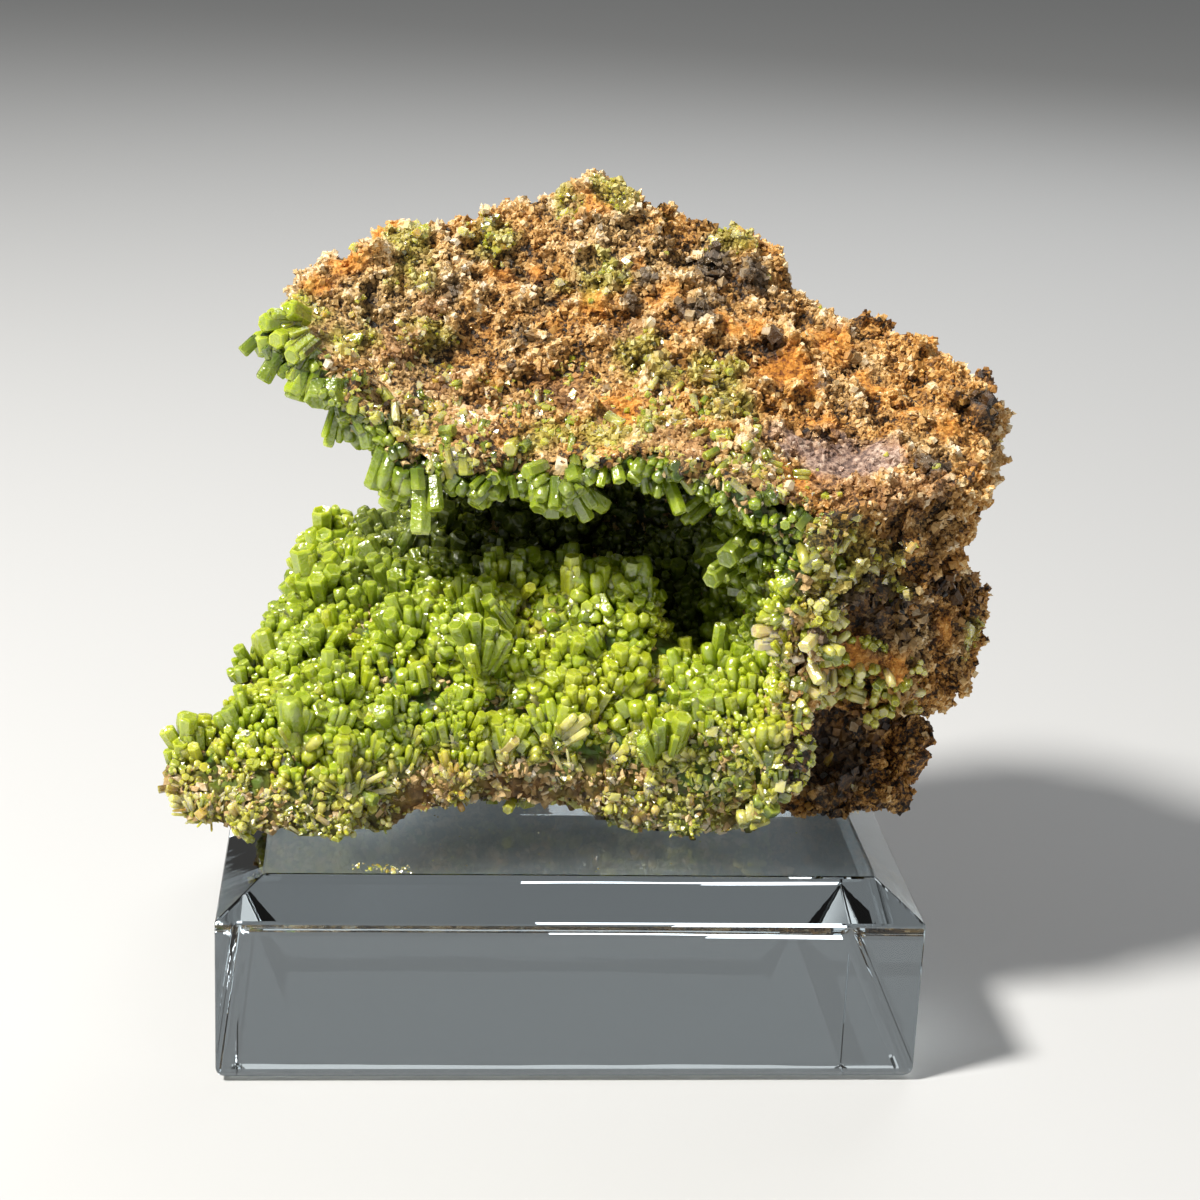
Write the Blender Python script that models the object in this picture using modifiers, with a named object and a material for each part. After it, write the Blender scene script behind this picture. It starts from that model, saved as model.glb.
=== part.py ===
"""Pyromorphite crystals lining an open vug in limonite, resting on a clear bevelled block.

Metres, +Z up, +X to the viewer's right, +Y away from the viewer. The origin is the middle
of the block's underside.
"""
import math
import random

import bmesh
import bpy
import numpy as np
from mathutils import Matrix, Vector
from mathutils.bvhtree import BVHTree

MM = 0.001

# Driving dimensions of the stand, in millimetres
BLOCK_WIDTH = 100.0
BLOCK_DEPTH = 80.0
BLOCK_EDGE_HEIGHT = 24.7
BLOCK_HEIGHT = 29.2
BEVEL_RUN = 6.5
FOOT_RADIUS = 2.0
ARRIS = 0.3

# Driving dimensions of the specimen, in millimetres
GAP = 0.3
LINING = 5.8
CRYSTAL_STAND = 1.6
ROCK_VOXEL = 1.7
LINING_VOXEL = 1.3
ROCK_TRIANGLES = 2400
VUG_TRIANGLES = 1500

# Outer hull of the specimen. Each row is a slice at one x, running round from the front
# of the underside, up the front, over the top at the back and down behind.
HULL = [
    (-58.5, [(-17, 32.5), (-20, 34.5), (-19, 37.5), (-17, 39.5), (-16, 40), (-14, 40.5),
             (-12, 40), (-10.5, 39), (-10, 37), (-11, 35), (-12, 33), (-14, 32.5)]),
    (-50.0, [(-20, 29), (-26, 33), (-24, 42), (-18, 49), (-14, 52), (-12, 53),
             (-9, 53), (-7, 51), (-6, 47), (-8, 40), (-11, 34), (-15, 31)]),
    (-46.0, [(-21, 28), (-28, 33), (-22, 60), (-5, 93), (-3, 98), (-1, 100),
             (1, 100), (3, 98), (4, 80), (4, 50), (-4, 36), (-13, 30)]),
    (-40.0, [(-21, 28), (-28, 33), (-18, 60), (-7, 90), (-1, 97), (6, 102),
             (13, 106), (17, 104), (21, 80), (28, 58), (18, 40), (-5, 32)]),
    (-34.0, [(-20, 28.5), (-27, 33), (-16, 60), (-9, 87), (-2, 95), (8, 103),
             (18, 110), (23, 106), (30, 80), (36, 60), (28, 38), (0, 32)]),
    (-23.0, [(-19, 31.5), (-26, 35), (-14, 60), (-10, 84), (0, 94), (12, 104),
             (24, 113.5), (30, 108), (36, 80), (39, 58), (32, 36), (4, 32)]),
    (-10.0, [(-18, 33), (-26, 36), (-14, 60), (-12, 83), (2, 95), (14, 105),
             (27, 115), (33, 109), (38, 80), (40, 56), (32, 29), (6, 31)]),
    (0.0, [(-18, 32.5), (-27, 36), (-16, 60), (-14, 84), (2, 96), (16, 108),
           (30, 119), (36, 112), (40, 82), (41, 56), (32, 29), (6, 31)]),
    (4.5, [(-18, 31.5), (-27, 35), (-17, 60), (-15, 85), (2, 97), (17, 110),
           (32, 123), (38, 116), (40, 82), (41, 56), (32, 29), (7, 31)]),
    (11.0, [(-18, 28.5), (-28, 34), (-19, 60), (-18, 86), (0, 97), (16, 109.5),
            (30, 119.5), (36, 112), (40, 82), (40, 56), (31, 29), (8, 31)]),
    (20.0, [(-20, 28.5), (-28, 34), (-23, 60), (-23, 85), (-4, 96), (14, 105),
            (28, 113), (35, 107), (38, 82), (38, 56), (28, 31), (8, 31)]),
    (29.5, [(-15, 28.5), (-25, 41), (-26, 60), (-28, 82), (-8, 92), (12, 103),
            (27, 112), (33, 105), (36, 82), (35, 56), (24, 32), (6, 30)]),
    (37.0, [(-14, 28.5), (-13, 41), (-27, 60), (-28, 82), (-12, 89), (6, 97),
            (23, 104), (30, 98), (33, 80), (31, 56), (22, 34), (6, 30)]),
    (47.0, [(-13, 28.5), (-9, 40), (-24, 58), (-27, 84), (-12, 89), (3, 95),
            (18, 100.5), (26, 95), (29, 78), (26, 54), (18, 34), (4, 30)]),
    (53.0, [(-9, 31), (-8, 38), (-18, 58), (-23, 84), (-10, 89), (4, 95),
            (18, 100), (24, 94), (25, 76), (22, 54), (12, 40), (0, 33)]),
    (59.0, [(-6, 46), (-10, 52), (-8, 70), (-15, 82), (-4, 88), (7, 93),
            (16, 98), (20, 93), (20, 76), (16, 56), (8, 46), (0, 44)]),
]

# Lumps that stand out of the hull, and the hollow worn in its roof: centre and radii
LUMPS = [
    ((57.0, 5, 86.5), (10.5, 14, 9.5)),
    ((51.5, 2, 57), (14.5, 19, 15)),
    ((38.0, -8, 34), (14, 9, 7)),
    ((45.0, 4, 36), (8, 12, 8)),
]
HOLLOW = ((38.5, -17.0, 96.0), (12.0, 9.0, 7.0))

# The vug, to the tips of its crystals. Each row is a slice at one x, running round from
# in front of the mouth, under the lip, over the floor, up the back wall and along the roof.
VUG = [
    (-72.0, [(-60, 16), (-24, 24), (-22, 30), (-16, 36), (-8, 38), (0, 40), (20, 42),
             (60, 46), (60, 112), (30, 120), (5, 120), (-15, 120), (-60, 120)]),
    (-58.0, [(-60, 18), (-20, 27), (-21, 35), (-17, 39), (-13, 40.5), (-8, 42), (10, 46),
             (60, 52), (60, 110), (30, 117), (5, 117), (-15, 115), (-60, 114)]),
    (-50.0, [(-60, 18), (-21, 26), (-22.5, 33), (-18, 41), (-10, 46), (-3, 49), (12, 54),
             (60, 58), (60, 107), (30, 111), (5, 107), (-12, 104), (-60, 104)]),
    (-46.0, [(-60, 18), (-22, 26), (-24, 34), (-18, 43), (-10, 48.5), (0, 51.5), (16, 57),
             (60, 60), (60, 100), (30, 102), (10, 98), (-2, 95), (-60, 94)]),
    (-40.0, [(-60, 18), (-22, 26), (-24, 34.5), (-18, 45), (-8, 51), (4, 54), (20, 58),
             (60, 62), (60, 92), (28, 94), (12, 94), (-4, 91.5), (-60, 86)]),
    (-33.0, [(-60, 18), (-21, 26), (-23, 35), (-16, 47), (-7, 54), (6, 58), (22, 61.5),
             (60, 64), (60, 84), (28, 87), (12, 90), (-5, 86.5), (-60, 80)]),
    (-24.0, [(-60, 18), (-19, 27), (-21, 37), (-14, 51), (-5, 59), (8, 61), (22, 62),
             (31, 65), (32, 72), (24, 80), (10, 84), (-7, 78.5), (-60, 74)]),
    (-10.0, [(-60, 18), (-17, 29), (-20, 40), (-13, 54), (-5, 63.5), (5, 64), (15, 60),
             (25, 61), (27, 72), (18, 82), (8, 83), (-9, 77.5), (-60, 74)]),
    (0.0, [(-60, 18), (-17, 29), (-21, 40), (-14, 54), (-6, 66), (4, 65), (12, 59),
           (23, 58), (26, 71), (18, 82), (6, 84), (-12, 78.5), (-60, 74)]),
    (9.0, [(-60, 18), (-18.5, 27), (-22, 38), (-16, 51), (-7, 66), (3, 64), (9, 57),
           (20, 55), (24, 70), (16, 82), (2, 85), (-16, 81), (-60, 78)]),
    (16.0, [(-60, 18), (-20.5, 26), (-24, 38), (-19, 49), (-11, 58), (0, 56), (8, 52),
            (16, 54), (19, 69), (12, 80), (0, 84), (-19, 80), (-60, 77)]),
    (20.5, [(-60, 18), (-20, 28), (-25, 41), (-23, 50), (-15, 54), (-5, 53), (3, 53),
            (10, 57), (12, 68), (6, 76), (-4, 80), (-23, 78), (-60, 77)]),
    (25.5, [(-60, 20), (-19, 31), (-26, 44), (-24, 51.5), (-18, 55), (-11, 56), (-6, 58),
            (-3, 61), (-3, 67), (-7, 72), (-13, 75), (-26, 76.5), (-60, 77)]),
    (29.0, [(-60, 40), (-29, 48), (-29, 50), (-29, 52), (-29, 55), (-29, 58), (-29, 60),
            (-29, 62), (-29, 66), (-29, 70), (-29, 73), (-29, 76), (-60, 77)]),
]

# Crystals standing clear of the rest: middle of the free end, direction, width, length
LONE_CRYSTALS = [
    ((-46.2, -1.5, 97.5), (-0.92, -0.3, -0.2), 3.6, 7.0),
    ((-40.6, -4.5, 91.0), (-0.45, -0.4, -0.8), 3.5, 7.0),
    ((-25.6, -9.0, 77.0), (-0.3, -0.15, -0.95), 3.4, 8.0),
    ((0.2, -5.5, 68.4), (-0.05, -0.1, 1.0), 2.4, 6.5),
    ((9.3, -5.5, 68.4), (0.12, -0.15, 1.0), 2.8, 6.5),
    ((-6.0, -11.0, 62.5), (-0.1, -0.55, 0.83), 3.0, 7.0),
    ((21.0, -20.0, 72.5), (-0.5, -0.75, -0.3), 3.4, 6.0),
]
CRYSTAL_COUNT = 165
CRYSTAL_SPACING = 4.1
CRYSTAL_WIDTH = (3.2, 4.4)
CRYSTAL_REACH = (1.6, 3.4)


def clear_scene():
    for item in list(bpy.data.objects):
        bpy.data.objects.remove(item, do_unlink=True)


def make_collection(name):
    group = bpy.data.collections.new(name)
    bpy.context.scene.collection.children.link(group)
    return group


def material(name, colour, roughness, metallic=0.0):
    made = bpy.data.materials.new(name)
    made.use_nodes = True
    shader = made.node_tree.nodes["Principled BSDF"]
    shader.inputs["Base Color"].default_value = (*colour, 1.0)
    shader.inputs["Roughness"].default_value = roughness
    shader.inputs["Metallic"].default_value = metallic
    made.diffuse_color = (*colour, 1.0)
    return made


def new_object(name, bm, group):
    mesh = bpy.data.meshes.new(name)
    bm.to_mesh(mesh)
    bm.free()
    item = bpy.data.objects.new(name, mesh)
    group.objects.link(item)
    return item


def hide_cutter(item):
    item.hide_render = True
    item.display_type = "WIRE"


def monotone(rows, samples, closed):
    """Smooth curve through the rows with no overshoot, sampled evenly per span."""
    rows = np.asarray(rows, float)
    if closed:
        rows = np.concatenate([rows[-1:], rows, rows[:2]])
    step = np.diff(rows, axis=0)
    product = step[:-1] * step[1:]
    total = step[:-1] + step[1:]
    inner = np.where(product > 0, 2 * product / np.where(total == 0, 1, total), 0.0)
    if closed:
        points, slopes = rows[1:-1], inner
    else:
        points, slopes = rows, np.concatenate([step[:1], inner, step[-1:]])
    out = []
    for i in range(len(points) - 1):
        for k in range(samples):
            t = k / samples
            h1 = 2 * t ** 3 - 3 * t ** 2 + 1
            h2 = t ** 3 - 2 * t ** 2 + t
            h3 = 3 * t ** 2 - 2 * t ** 3
            h4 = t ** 3 - t ** 2
            out.append(h1 * points[i] + h2 * slopes[i] + h3 * points[i + 1] + h4 * slopes[i + 1])
    if not closed:
        out.append(points[-1])
    return np.array(out)


def slice_grid(slices, along, around):
    """Grid of points through the slices: first index along x, second round the slice."""
    rings = []
    for x, ring in slices:
        smooth = monotone(ring, around, True)
        rings.append(np.column_stack([np.full(len(smooth), x), smooth]))
    flat = np.array(rings).reshape(len(slices), -1)
    return monotone(flat, along, False).reshape(-1, len(rings[0]), 3)


def grow_slices(slices, amount):
    """The same slices pushed outwards in their own plane by one distance."""
    grown = []
    for x, ring in slices:
        points = np.asarray(ring, float)
        span = np.roll(points, -1, axis=0) - np.roll(points, 1, axis=0)
        normal = np.column_stack([span[:, 1], -span[:, 0]])
        normal /= np.linalg.norm(normal, axis=1)[:, None]
        grown.append((x, [tuple(p) for p in points + normal * amount]))
    return grown


def loft(bm, grid):
    """Closed skin over a grid of rings, with both ends capped."""
    rings = [[bm.verts.new(Vector(p) * MM) for p in ring] for ring in grid]
    count = len(rings[0])
    for low, high in zip(rings, rings[1:]):
        for i in range(count):
            j = (i + 1) % count
            bm.faces.new((low[i], low[j], high[j], high[i]))
    bm.faces.new(rings[0][::-1])
    bm.faces.new(rings[-1])
    bmesh.ops.triangulate(bm, faces=bm.faces)
    bmesh.ops.recalc_face_normals(bm, faces=bm.faces)


def add_lump(bm, centre, radii):
    turn = Matrix.Translation(Vector(centre) * MM) @ Matrix.Diagonal((*(Vector(radii) * MM), 1))
    bmesh.ops.create_icosphere(bm, subdivisions=3, radius=1.0, matrix=turn)


def evaluate(item):
    """Replace an object's mesh by the result of its modifiers."""
    graph = bpy.context.evaluated_depsgraph_get()
    graph.update()
    result = bpy.data.meshes.new_from_object(item.evaluated_get(graph))
    item.modifiers.clear()
    item.data = result


def keep_main_body(item):
    """Drop crumbs that a cut left loose, and keep the one large body."""
    bm = bmesh.new()
    bm.from_mesh(item.data)
    left = set(bm.faces)
    bodies = []
    while left:
        seed = left.pop()
        body = [seed]
        stack = [seed]
        while stack:
            face = stack.pop()
            for edge in face.edges:
                for other in edge.link_faces:
                    if other in left:
                        left.remove(other)
                        body.append(other)
                        stack.append(other)
        bodies.append(body)
    bodies.sort(key=len, reverse=True)
    loose = [face for body in bodies[1:] for face in body]
    bmesh.ops.delete(bm, geom=loose, context="FACES")
    spare = [v for v in bm.verts if not v.link_faces]
    bmesh.ops.delete(bm, geom=spare, context="VERTS")
    bmesh.ops.triangulate(bm, faces=bm.faces)
    bmesh.ops.dissolve_degenerate(bm, dist=0.000001, edges=bm.edges)
    bmesh.ops.triangulate(bm, faces=bm.faces)
    bm.to_mesh(item.data)
    bm.free()


def remesh(item, voxel):
    step = item.modifiers.new("even skin", "REMESH")
    step.mode = "VOXEL"
    step.voxel_size = voxel * MM
    step.adaptivity = 0.0


def relax(item, factor, repeat):
    step = item.modifiers.new("relax", "SMOOTH")
    step.factor = factor
    step.iterations = repeat


def roughen(item, size, strength, depth):
    grain = bpy.data.textures.new("grain " + str(size), "CLOUDS")
    grain.noise_scale = size * MM
    grain.noise_depth = depth
    step = item.modifiers.new("rough " + str(size), "DISPLACE")
    step.texture = grain
    step.texture_coords = "GLOBAL"
    step.mid_level = 0.5
    step.strength = strength * MM


def thin_out(item, triangles):
    """Collapse edges until about this many triangles are left."""
    evaluate(item)
    count = sum(len(face.vertices) - 2 for face in item.data.polygons)
    step = item.modifiers.new("thin out", "DECIMATE")
    step.ratio = min(1.0, triangles / count)
    evaluate(item)


def combine(item, other, operation, solver="EXACT"):
    step = item.modifiers.new(operation.lower(), "BOOLEAN")
    step.operation = operation
    step.solver = solver
    step.object = other
    evaluate(item)


def make_block(group):
    """Clear block: upright sides, a wide sloping bevel round the top, a rounded foot."""
    bm = bmesh.new()
    half_x, half_y = BLOCK_WIDTH / 2, BLOCK_DEPTH / 2
    levels = [(0.0, 0.0), (BLOCK_EDGE_HEIGHT, 0.0), (BLOCK_HEIGHT, BEVEL_RUN)]
    rings = []
    for height, inset in levels:
        x, y = half_x - inset, half_y - inset
        corners = [(-x, -y), (x, -y), (x, y), (-x, y)]
        rings.append([bm.verts.new(Vector((a, b, height)) * MM) for a, b in corners])
    for low, high in zip(rings, rings[1:]):
        for i in range(4):
            j = (i + 1) % 4
            bm.faces.new((low[i], low[j], high[j], high[i]))
    bottom = bm.faces.new(rings[0][::-1])
    bm.faces.new(rings[-1])
    foot = list(bottom.edges)
    bmesh.ops.bevel(bm, geom=foot, offset=FOOT_RADIUS * MM, segments=4, profile=0.5,
                    affect="EDGES")
    item = new_object("acrylic_block", bm, group)
    arris = item.modifiers.new("arrises", "BEVEL")
    arris.width = ARRIS * MM
    arris.segments = 2
    arris.limit_method = "ANGLE"
    arris.angle_limit = math.radians(20)
    item.data.materials.append(material("clear_acrylic", (0.86, 0.9, 0.92), 0.03))
    return item


def make_hull(group):
    """Everything the specimen fills, crystals included, before the vug is opened."""
    bm = bmesh.new()
    loft(bm, slice_grid(HULL, 4, 5))
    for centre, radii in LUMPS:
        add_lump(bm, centre, radii)
    item = new_object("hull", bm, group)
    remesh(item, ROCK_VOXEL)
    relax(item, 0.5, 3)
    roughen(item, 14.0, 5.0, 2)
    roughen(item, 5.0, 1.8, 1)
    thin_out(item, ROCK_TRIANGLES)
    bm = bmesh.new()
    add_lump(bm, *HOLLOW)
    hollow = new_object("hollow", bm, group)
    hide_cutter(hollow)
    combine(item, hollow, "DIFFERENCE")
    hide_cutter(item)
    return item


def make_vug(group):
    """The open space, with the crust that the crystals stand on as its wall."""
    bm = bmesh.new()
    loft(bm, slice_grid(grow_slices(VUG, CRYSTAL_STAND), 5, 5))
    item = new_object("vug", bm, group)
    remesh(item, LINING_VOXEL)
    relax(item, 0.5, 2)
    roughen(item, 5.0, 3.0, 1)
    thin_out(item, VUG_TRIANGLES)
    hide_cutter(item)
    return item


def make_socket(name, grow, group):
    """The vug with its lining taken out, so the wall of bare rock."""
    slices = grow_slices(VUG, grow)
    grid = slice_grid(slices, 1, 2)
    grid[:, :, 0] += 0.5 * grow * np.clip((grid[:, :, 0] - 10) / 18, 0, 1)
    bm = bmesh.new()
    loft(bm, grid)
    item = new_object(name, bm, group)
    hide_cutter(item)
    return item


def make_ground(group):
    """Slab under the specimen that flattens the points it rests on."""
    bm = bmesh.new()
    size = Vector((200, 200, 60)) * MM
    middle = Vector((0, 0, BLOCK_HEIGHT + GAP - 30)) * MM
    bmesh.ops.create_cube(bm, size=1.0, matrix=Matrix.Translation(middle) @
                          Matrix.Diagonal((*size, 1)))
    item = new_object("ground", bm, group)
    hide_cutter(item)
    return item


def add_crystal(bm, tip, way, width, length, twist):
    """Six-sided prism with a flat end, given by the middle of that end."""
    way = Vector(way).normalized()
    turn = way.to_track_quat("Z", "Y").to_matrix().to_4x4() @ Matrix.Rotation(twist, 4, "Z")
    middle = Vector(tip) - way * (length / 2)
    place = Matrix.Translation(middle * MM) @ turn
    bmesh.ops.create_cone(bm, cap_ends=True, segments=6, radius1=width * 0.46 * MM,
                          radius2=width * 0.5 * MM, depth=length * MM, matrix=place)
    bmesh.ops.triangulate(bm, faces=bm.faces)


def free_way(place, out, dice):
    """Direction a crystal grows: away from the wall, up on the floor, down from the roof."""
    lift = 0.7 if place.z / MM < 70 and out.z > 0.1 else 0.0
    drop = -0.7 if place.z / MM > 74 and out.z < -0.1 else 0.0
    scatter = Vector([dice.uniform(-0.3, 0.3) for _ in range(3)])
    return (out + Vector((0, 0, lift + drop)) + scatter).normalized()


def showing(face):
    """How much of the planting a face takes: most on the floor, the lip and the fringe."""
    on_floor = face.normal.z < -0.25 and face.center.z < 70 * MM
    on_fringe = face.center.y < 2 * MM and face.center.z > 72 * MM
    at_tip = face.center.x < -53 * MM
    return face.area * (0.0 if at_tip else 1.0 if on_floor or on_fringe else 0.2)


def choose_crystals(druse, vug):
    """Crystals spread over the lining wherever the vug bounds it, no two too close."""
    dice = random.Random(11)
    tree = BVHTree.FromPolygons([v.co for v in druse.data.vertices],
                                [p.vertices for p in druse.data.polygons])
    chosen = list(LONE_CRYSTALS)
    taken = [Vector(row[0]) * MM for row in chosen]
    faces = [p for p in vug.data.polygons if p.area > 1e-6]
    weights = [showing(p) for p in faces]
    for _ in range(20000):
        face = dice.choices(faces, weights)[0]
        place = face.center
        if any((place - other).length < CRYSTAL_SPACING * MM for other in taken):
            continue
        if tree.find_nearest(place)[3] > 0.02 * MM:
            continue
        way = free_way(place, -face.normal, dice)
        width = dice.uniform(*CRYSTAL_WIDTH)
        reach = dice.uniform(*CRYSTAL_REACH)
        chosen.append((place / MM + way * reach, way, width, reach + 2.8))
        taken.append(place.copy())
        if len(chosen) >= CRYSTAL_COUNT:
            break
    return chosen


def plant_crystals(druse, vug, group):
    """Join each crystal to the lining, one at a time."""
    for number, (tip, way, width, length) in enumerate(choose_crystals(druse, vug)):
        bm = bmesh.new()
        add_crystal(bm, tip, way, width, length, number * 0.37)
        crystal = new_object("crystal", bm, group)
        combine(druse, crystal, "UNION", "MANIFOLD")
        bpy.data.objects.remove(crystal)


def copy_of(item, name, group):
    twin = bpy.data.objects.new(name, item.data.copy())
    group.objects.link(twin)
    return twin


def build():
    clear_scene()
    solids = make_collection("pyromorphite_specimen")
    cutters = make_collection("cutters")
    make_block(solids)
    hull = make_hull(cutters)
    vug = make_vug(cutters)
    ground = make_ground(cutters)
    wall = make_socket("bare wall", LINING, cutters)
    back = make_socket("lining back", LINING - GAP, cutters)

    matrix = copy_of(hull, "matrix", solids)
    combine(matrix, wall, "DIFFERENCE", "MANIFOLD")
    combine(matrix, ground, "DIFFERENCE", "MANIFOLD")
    keep_main_body(matrix)
    matrix.data.materials.clear()
    matrix.data.materials.append(material("limonite", (0.36, 0.2, 0.09), 0.85))

    druse = copy_of(hull, "crystal_lining", solids)
    combine(druse, back, "INTERSECT", "MANIFOLD")
    combine(druse, vug, "DIFFERENCE", "MANIFOLD")
    plant_crystals(druse, vug, cutters)
    combine(druse, back, "INTERSECT", "MANIFOLD")
    combine(druse, ground, "DIFFERENCE", "MANIFOLD")
    keep_main_body(druse)
    druse.data.materials.clear()
    druse.data.materials.append(material("pyromorphite", (0.36, 0.55, 0.06), 0.3))


build()
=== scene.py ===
# %% [markdown]
# # Pyromorphite in a rusty vug, on a clear display block
#
# The object is a natural mineral specimen about 12 cm across: a lump of porous brown limonite
# with an open hollow, a vug, whose floor, lip and roof are covered with green pyromorphite
# crystals. It rests on a clear acrylic block with a wide bevel. The rock and the crystals are far
# too fine for CAD, so here the CAD bodies only give the big shape, and everything that the eye
# reads as rock and crystal is grown on top of them.

import math
import random

import bmesh
import bpy
import numpy as np
from mathutils import Matrix, Vector, noise
from mathutils.bvhtree import BVHTree


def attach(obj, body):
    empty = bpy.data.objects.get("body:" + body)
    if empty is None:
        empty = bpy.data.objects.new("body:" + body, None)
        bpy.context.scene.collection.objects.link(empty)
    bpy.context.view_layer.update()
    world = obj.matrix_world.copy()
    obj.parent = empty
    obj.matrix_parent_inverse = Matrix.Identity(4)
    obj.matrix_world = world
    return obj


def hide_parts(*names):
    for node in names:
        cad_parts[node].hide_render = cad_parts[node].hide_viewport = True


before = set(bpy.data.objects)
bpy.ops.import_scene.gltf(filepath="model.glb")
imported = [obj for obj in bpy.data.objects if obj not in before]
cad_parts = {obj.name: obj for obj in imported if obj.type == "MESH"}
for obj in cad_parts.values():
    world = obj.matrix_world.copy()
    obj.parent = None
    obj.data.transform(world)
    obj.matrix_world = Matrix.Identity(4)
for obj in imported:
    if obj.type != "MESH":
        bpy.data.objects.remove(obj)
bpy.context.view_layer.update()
MM = 0.001
noise.seed_set(7)  # vector noise starts from a random offset unless it is given a seed
for name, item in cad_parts.items():
    print(name, len(item.data.polygons), "faces, size in mm", [round(v / MM, 1) for v in item.dimensions])

# %% [markdown]
# ## Helpers for colours and nodes
#
# Colours are easiest to choose as the hex values of a colour picker. Blender's shaders want linear
# light, so one function converts them. A second one adds any node of any tree, with its settings
# and its links in one call, so each material reads as a short list. A link may come from a node,
# which then gives its first output in use, or from one named output.

# %% Colour and node helpers
def linear(code):
    """sRGB hex to linear RGBA."""
    parts = [int(code[i:i + 2], 16) / 255 for i in (1, 3, 5)]
    return (*[c / 12.92 if c <= 0.04045 else ((c + 0.055) / 1.055) ** 2.4 for c in parts], 1.0)


def output(node, name=None):
    """The node's first output in use, or the one with this name."""
    return next(s for s in node.outputs if s.enabled and (name is None or s.name == name))


def wire(node, inputs):
    """Gives each socket, by its name or number, a value or a link from a node or an output."""
    for key, value in inputs.items():
        if isinstance(key, int):
            socket = node.inputs[key]
        else:
            socket = next(s for s in node.inputs if s.name == key and s.enabled)
        if isinstance(value, bpy.types.Node):
            value = output(value)
        if isinstance(value, bpy.types.NodeSocket):
            node.id_data.links.new(value, socket)
        else:
            socket.default_value = value


def add(tree, kind, inputs, stops=None, **settings):
    """Adds a node with its settings and its links, and a colour ramp's stops."""
    node = tree.nodes.new(kind)
    for key, value in settings.items():
        setattr(node, key, value)
    wire(node, inputs)
    if stops:
        marks = node.color_ramp.elements
        while len(marks) < len(stops):
            marks.new(0.5)
        for mark, (place, colour) in zip(marks, stops):
            mark.position, mark.color = place, linear(colour)
    return node


def new_material(name):
    """A material, its tree, its shader, and the place on the object for patterns to read."""
    material = bpy.data.materials.new(name)
    material.use_nodes = True
    tree = material.node_tree
    place = output(add(tree, "ShaderNodeTexCoord", {}), "Object")
    return material, tree, tree.nodes["Principled BSDF"], place


def put_out(name, data, group=None):
    """Makes an object and links it to the scene, or to a collection of stock."""
    item = bpy.data.objects.new(name, data)
    (group or bpy.context.scene.collection).objects.link(item)
    return item


# %% [markdown]
# ## Camera, floor and light
#
# The camera was fitted to the block's corners in the photograph: a long lens from a little over
# the block, tipped down 18 degrees. The stage is a plain pale floor. One soft light from the upper
# left does most of the work, as in the photograph, and two weak ones open the shadows.

# %% Camera
VIEW_PLACE = Vector((-27.6, -346.3, 173.3)) * MM
VIEW_TURN, VIEW_TIP, VIEW_ROLL = math.radians(5.41), math.radians(18.13), math.radians(-2.62)
LENS, SENSOR = 72.56, 36

ahead = Vector((math.sin(VIEW_TURN) * math.cos(VIEW_TIP), math.cos(VIEW_TURN) * math.cos(VIEW_TIP),
                -math.sin(VIEW_TIP)))
level_right = Vector((math.cos(VIEW_TURN), -math.sin(VIEW_TURN), 0))
level_down = ahead.cross(level_right)
right = math.cos(VIEW_ROLL) * level_right + math.sin(VIEW_ROLL) * level_down
down = -math.sin(VIEW_ROLL) * level_right + math.cos(VIEW_ROLL) * level_down
camera_data = bpy.data.cameras.new("camera")
camera_data.lens, camera_data.sensor_width = LENS, SENSOR
camera = put_out("camera", camera_data)
camera.matrix_world = Matrix.Translation(VIEW_PLACE) @ Matrix((right, -down, -ahead)).transposed().to_4x4()
bpy.context.scene.camera = camera

# %% Floor
def plain_mesh(name, points, faces):
    mesh = bpy.data.meshes.new(name)
    mesh.from_pydata([tuple(p) for p in points], [], faces)
    return put_out(name, mesh)


HALF, LEVEL = 3.0, -0.0002
corners = [(x, y, LEVEL) for x, y in [(-HALF, -HALF), (HALF, -HALF), (HALF, HALF), (-HALF, HALF)]]
floor = plain_mesh("floor", corners, [(0, 1, 2, 3)])
matte_paint = bpy.data.materials.new("pale matte paint")
matte_paint.use_nodes = True
wire(matte_paint.node_tree.nodes["Principled BSDF"], {"Base Color": linear("#c9cbcd"), "Roughness": 0.85})
floor.data.materials.append(matte_paint)

# %% Lights
def soft_light(name, place, target, size, power, colour="#ffffff"):
    data = bpy.data.lights.new(name, "AREA")
    data.shape, data.size, data.energy, data.color = "DISK", size, power, linear(colour)[:3]
    item = put_out(name, data)
    item.location = place
    item.rotation_euler = (Vector(target) - Vector(place)).to_track_quat("-Z", "Y").to_euler()


soft_light("key", (-0.60, -0.30, 0.86), (0, 0, 0.06), 0.18, 19.0, "#fffaf2")
soft_light("fill", (0.7, -0.9, 0.35), (0, 0, 0.05), 0.8, 1.3)
soft_light("rim", (0.35, 0.8, 0.8), (0, 0, 0.08), 0.6, 3.0)
world = bpy.data.worlds.new("studio")
bpy.context.scene.world = world
world.use_nodes = True
wire(world.node_tree.nodes["Background"], {"Color": linear("#e4e4e2"), "Strength": 0.26})
bpy.context.scene.view_settings.view_transform = "Standard"

# %% [markdown]
# ## Mesh helpers
#
# Most pieces start from a CAD body or from a loft, pass through a few modifiers and end as a plain
# mesh. These helpers copy a CAD body, apply modifiers, and answer questions about a list of points:
# soft noise, the cell that a point is in, how near another body is, how thick this one is. Points
# are in millimetres throughout.

# %% Mesh helpers
def finished(bm, name, group=None):
    """Turns a bmesh into an object."""
    mesh = bpy.data.meshes.new(name)
    bm.to_mesh(mesh)
    bm.free()
    return put_out(name, mesh, group)


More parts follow.
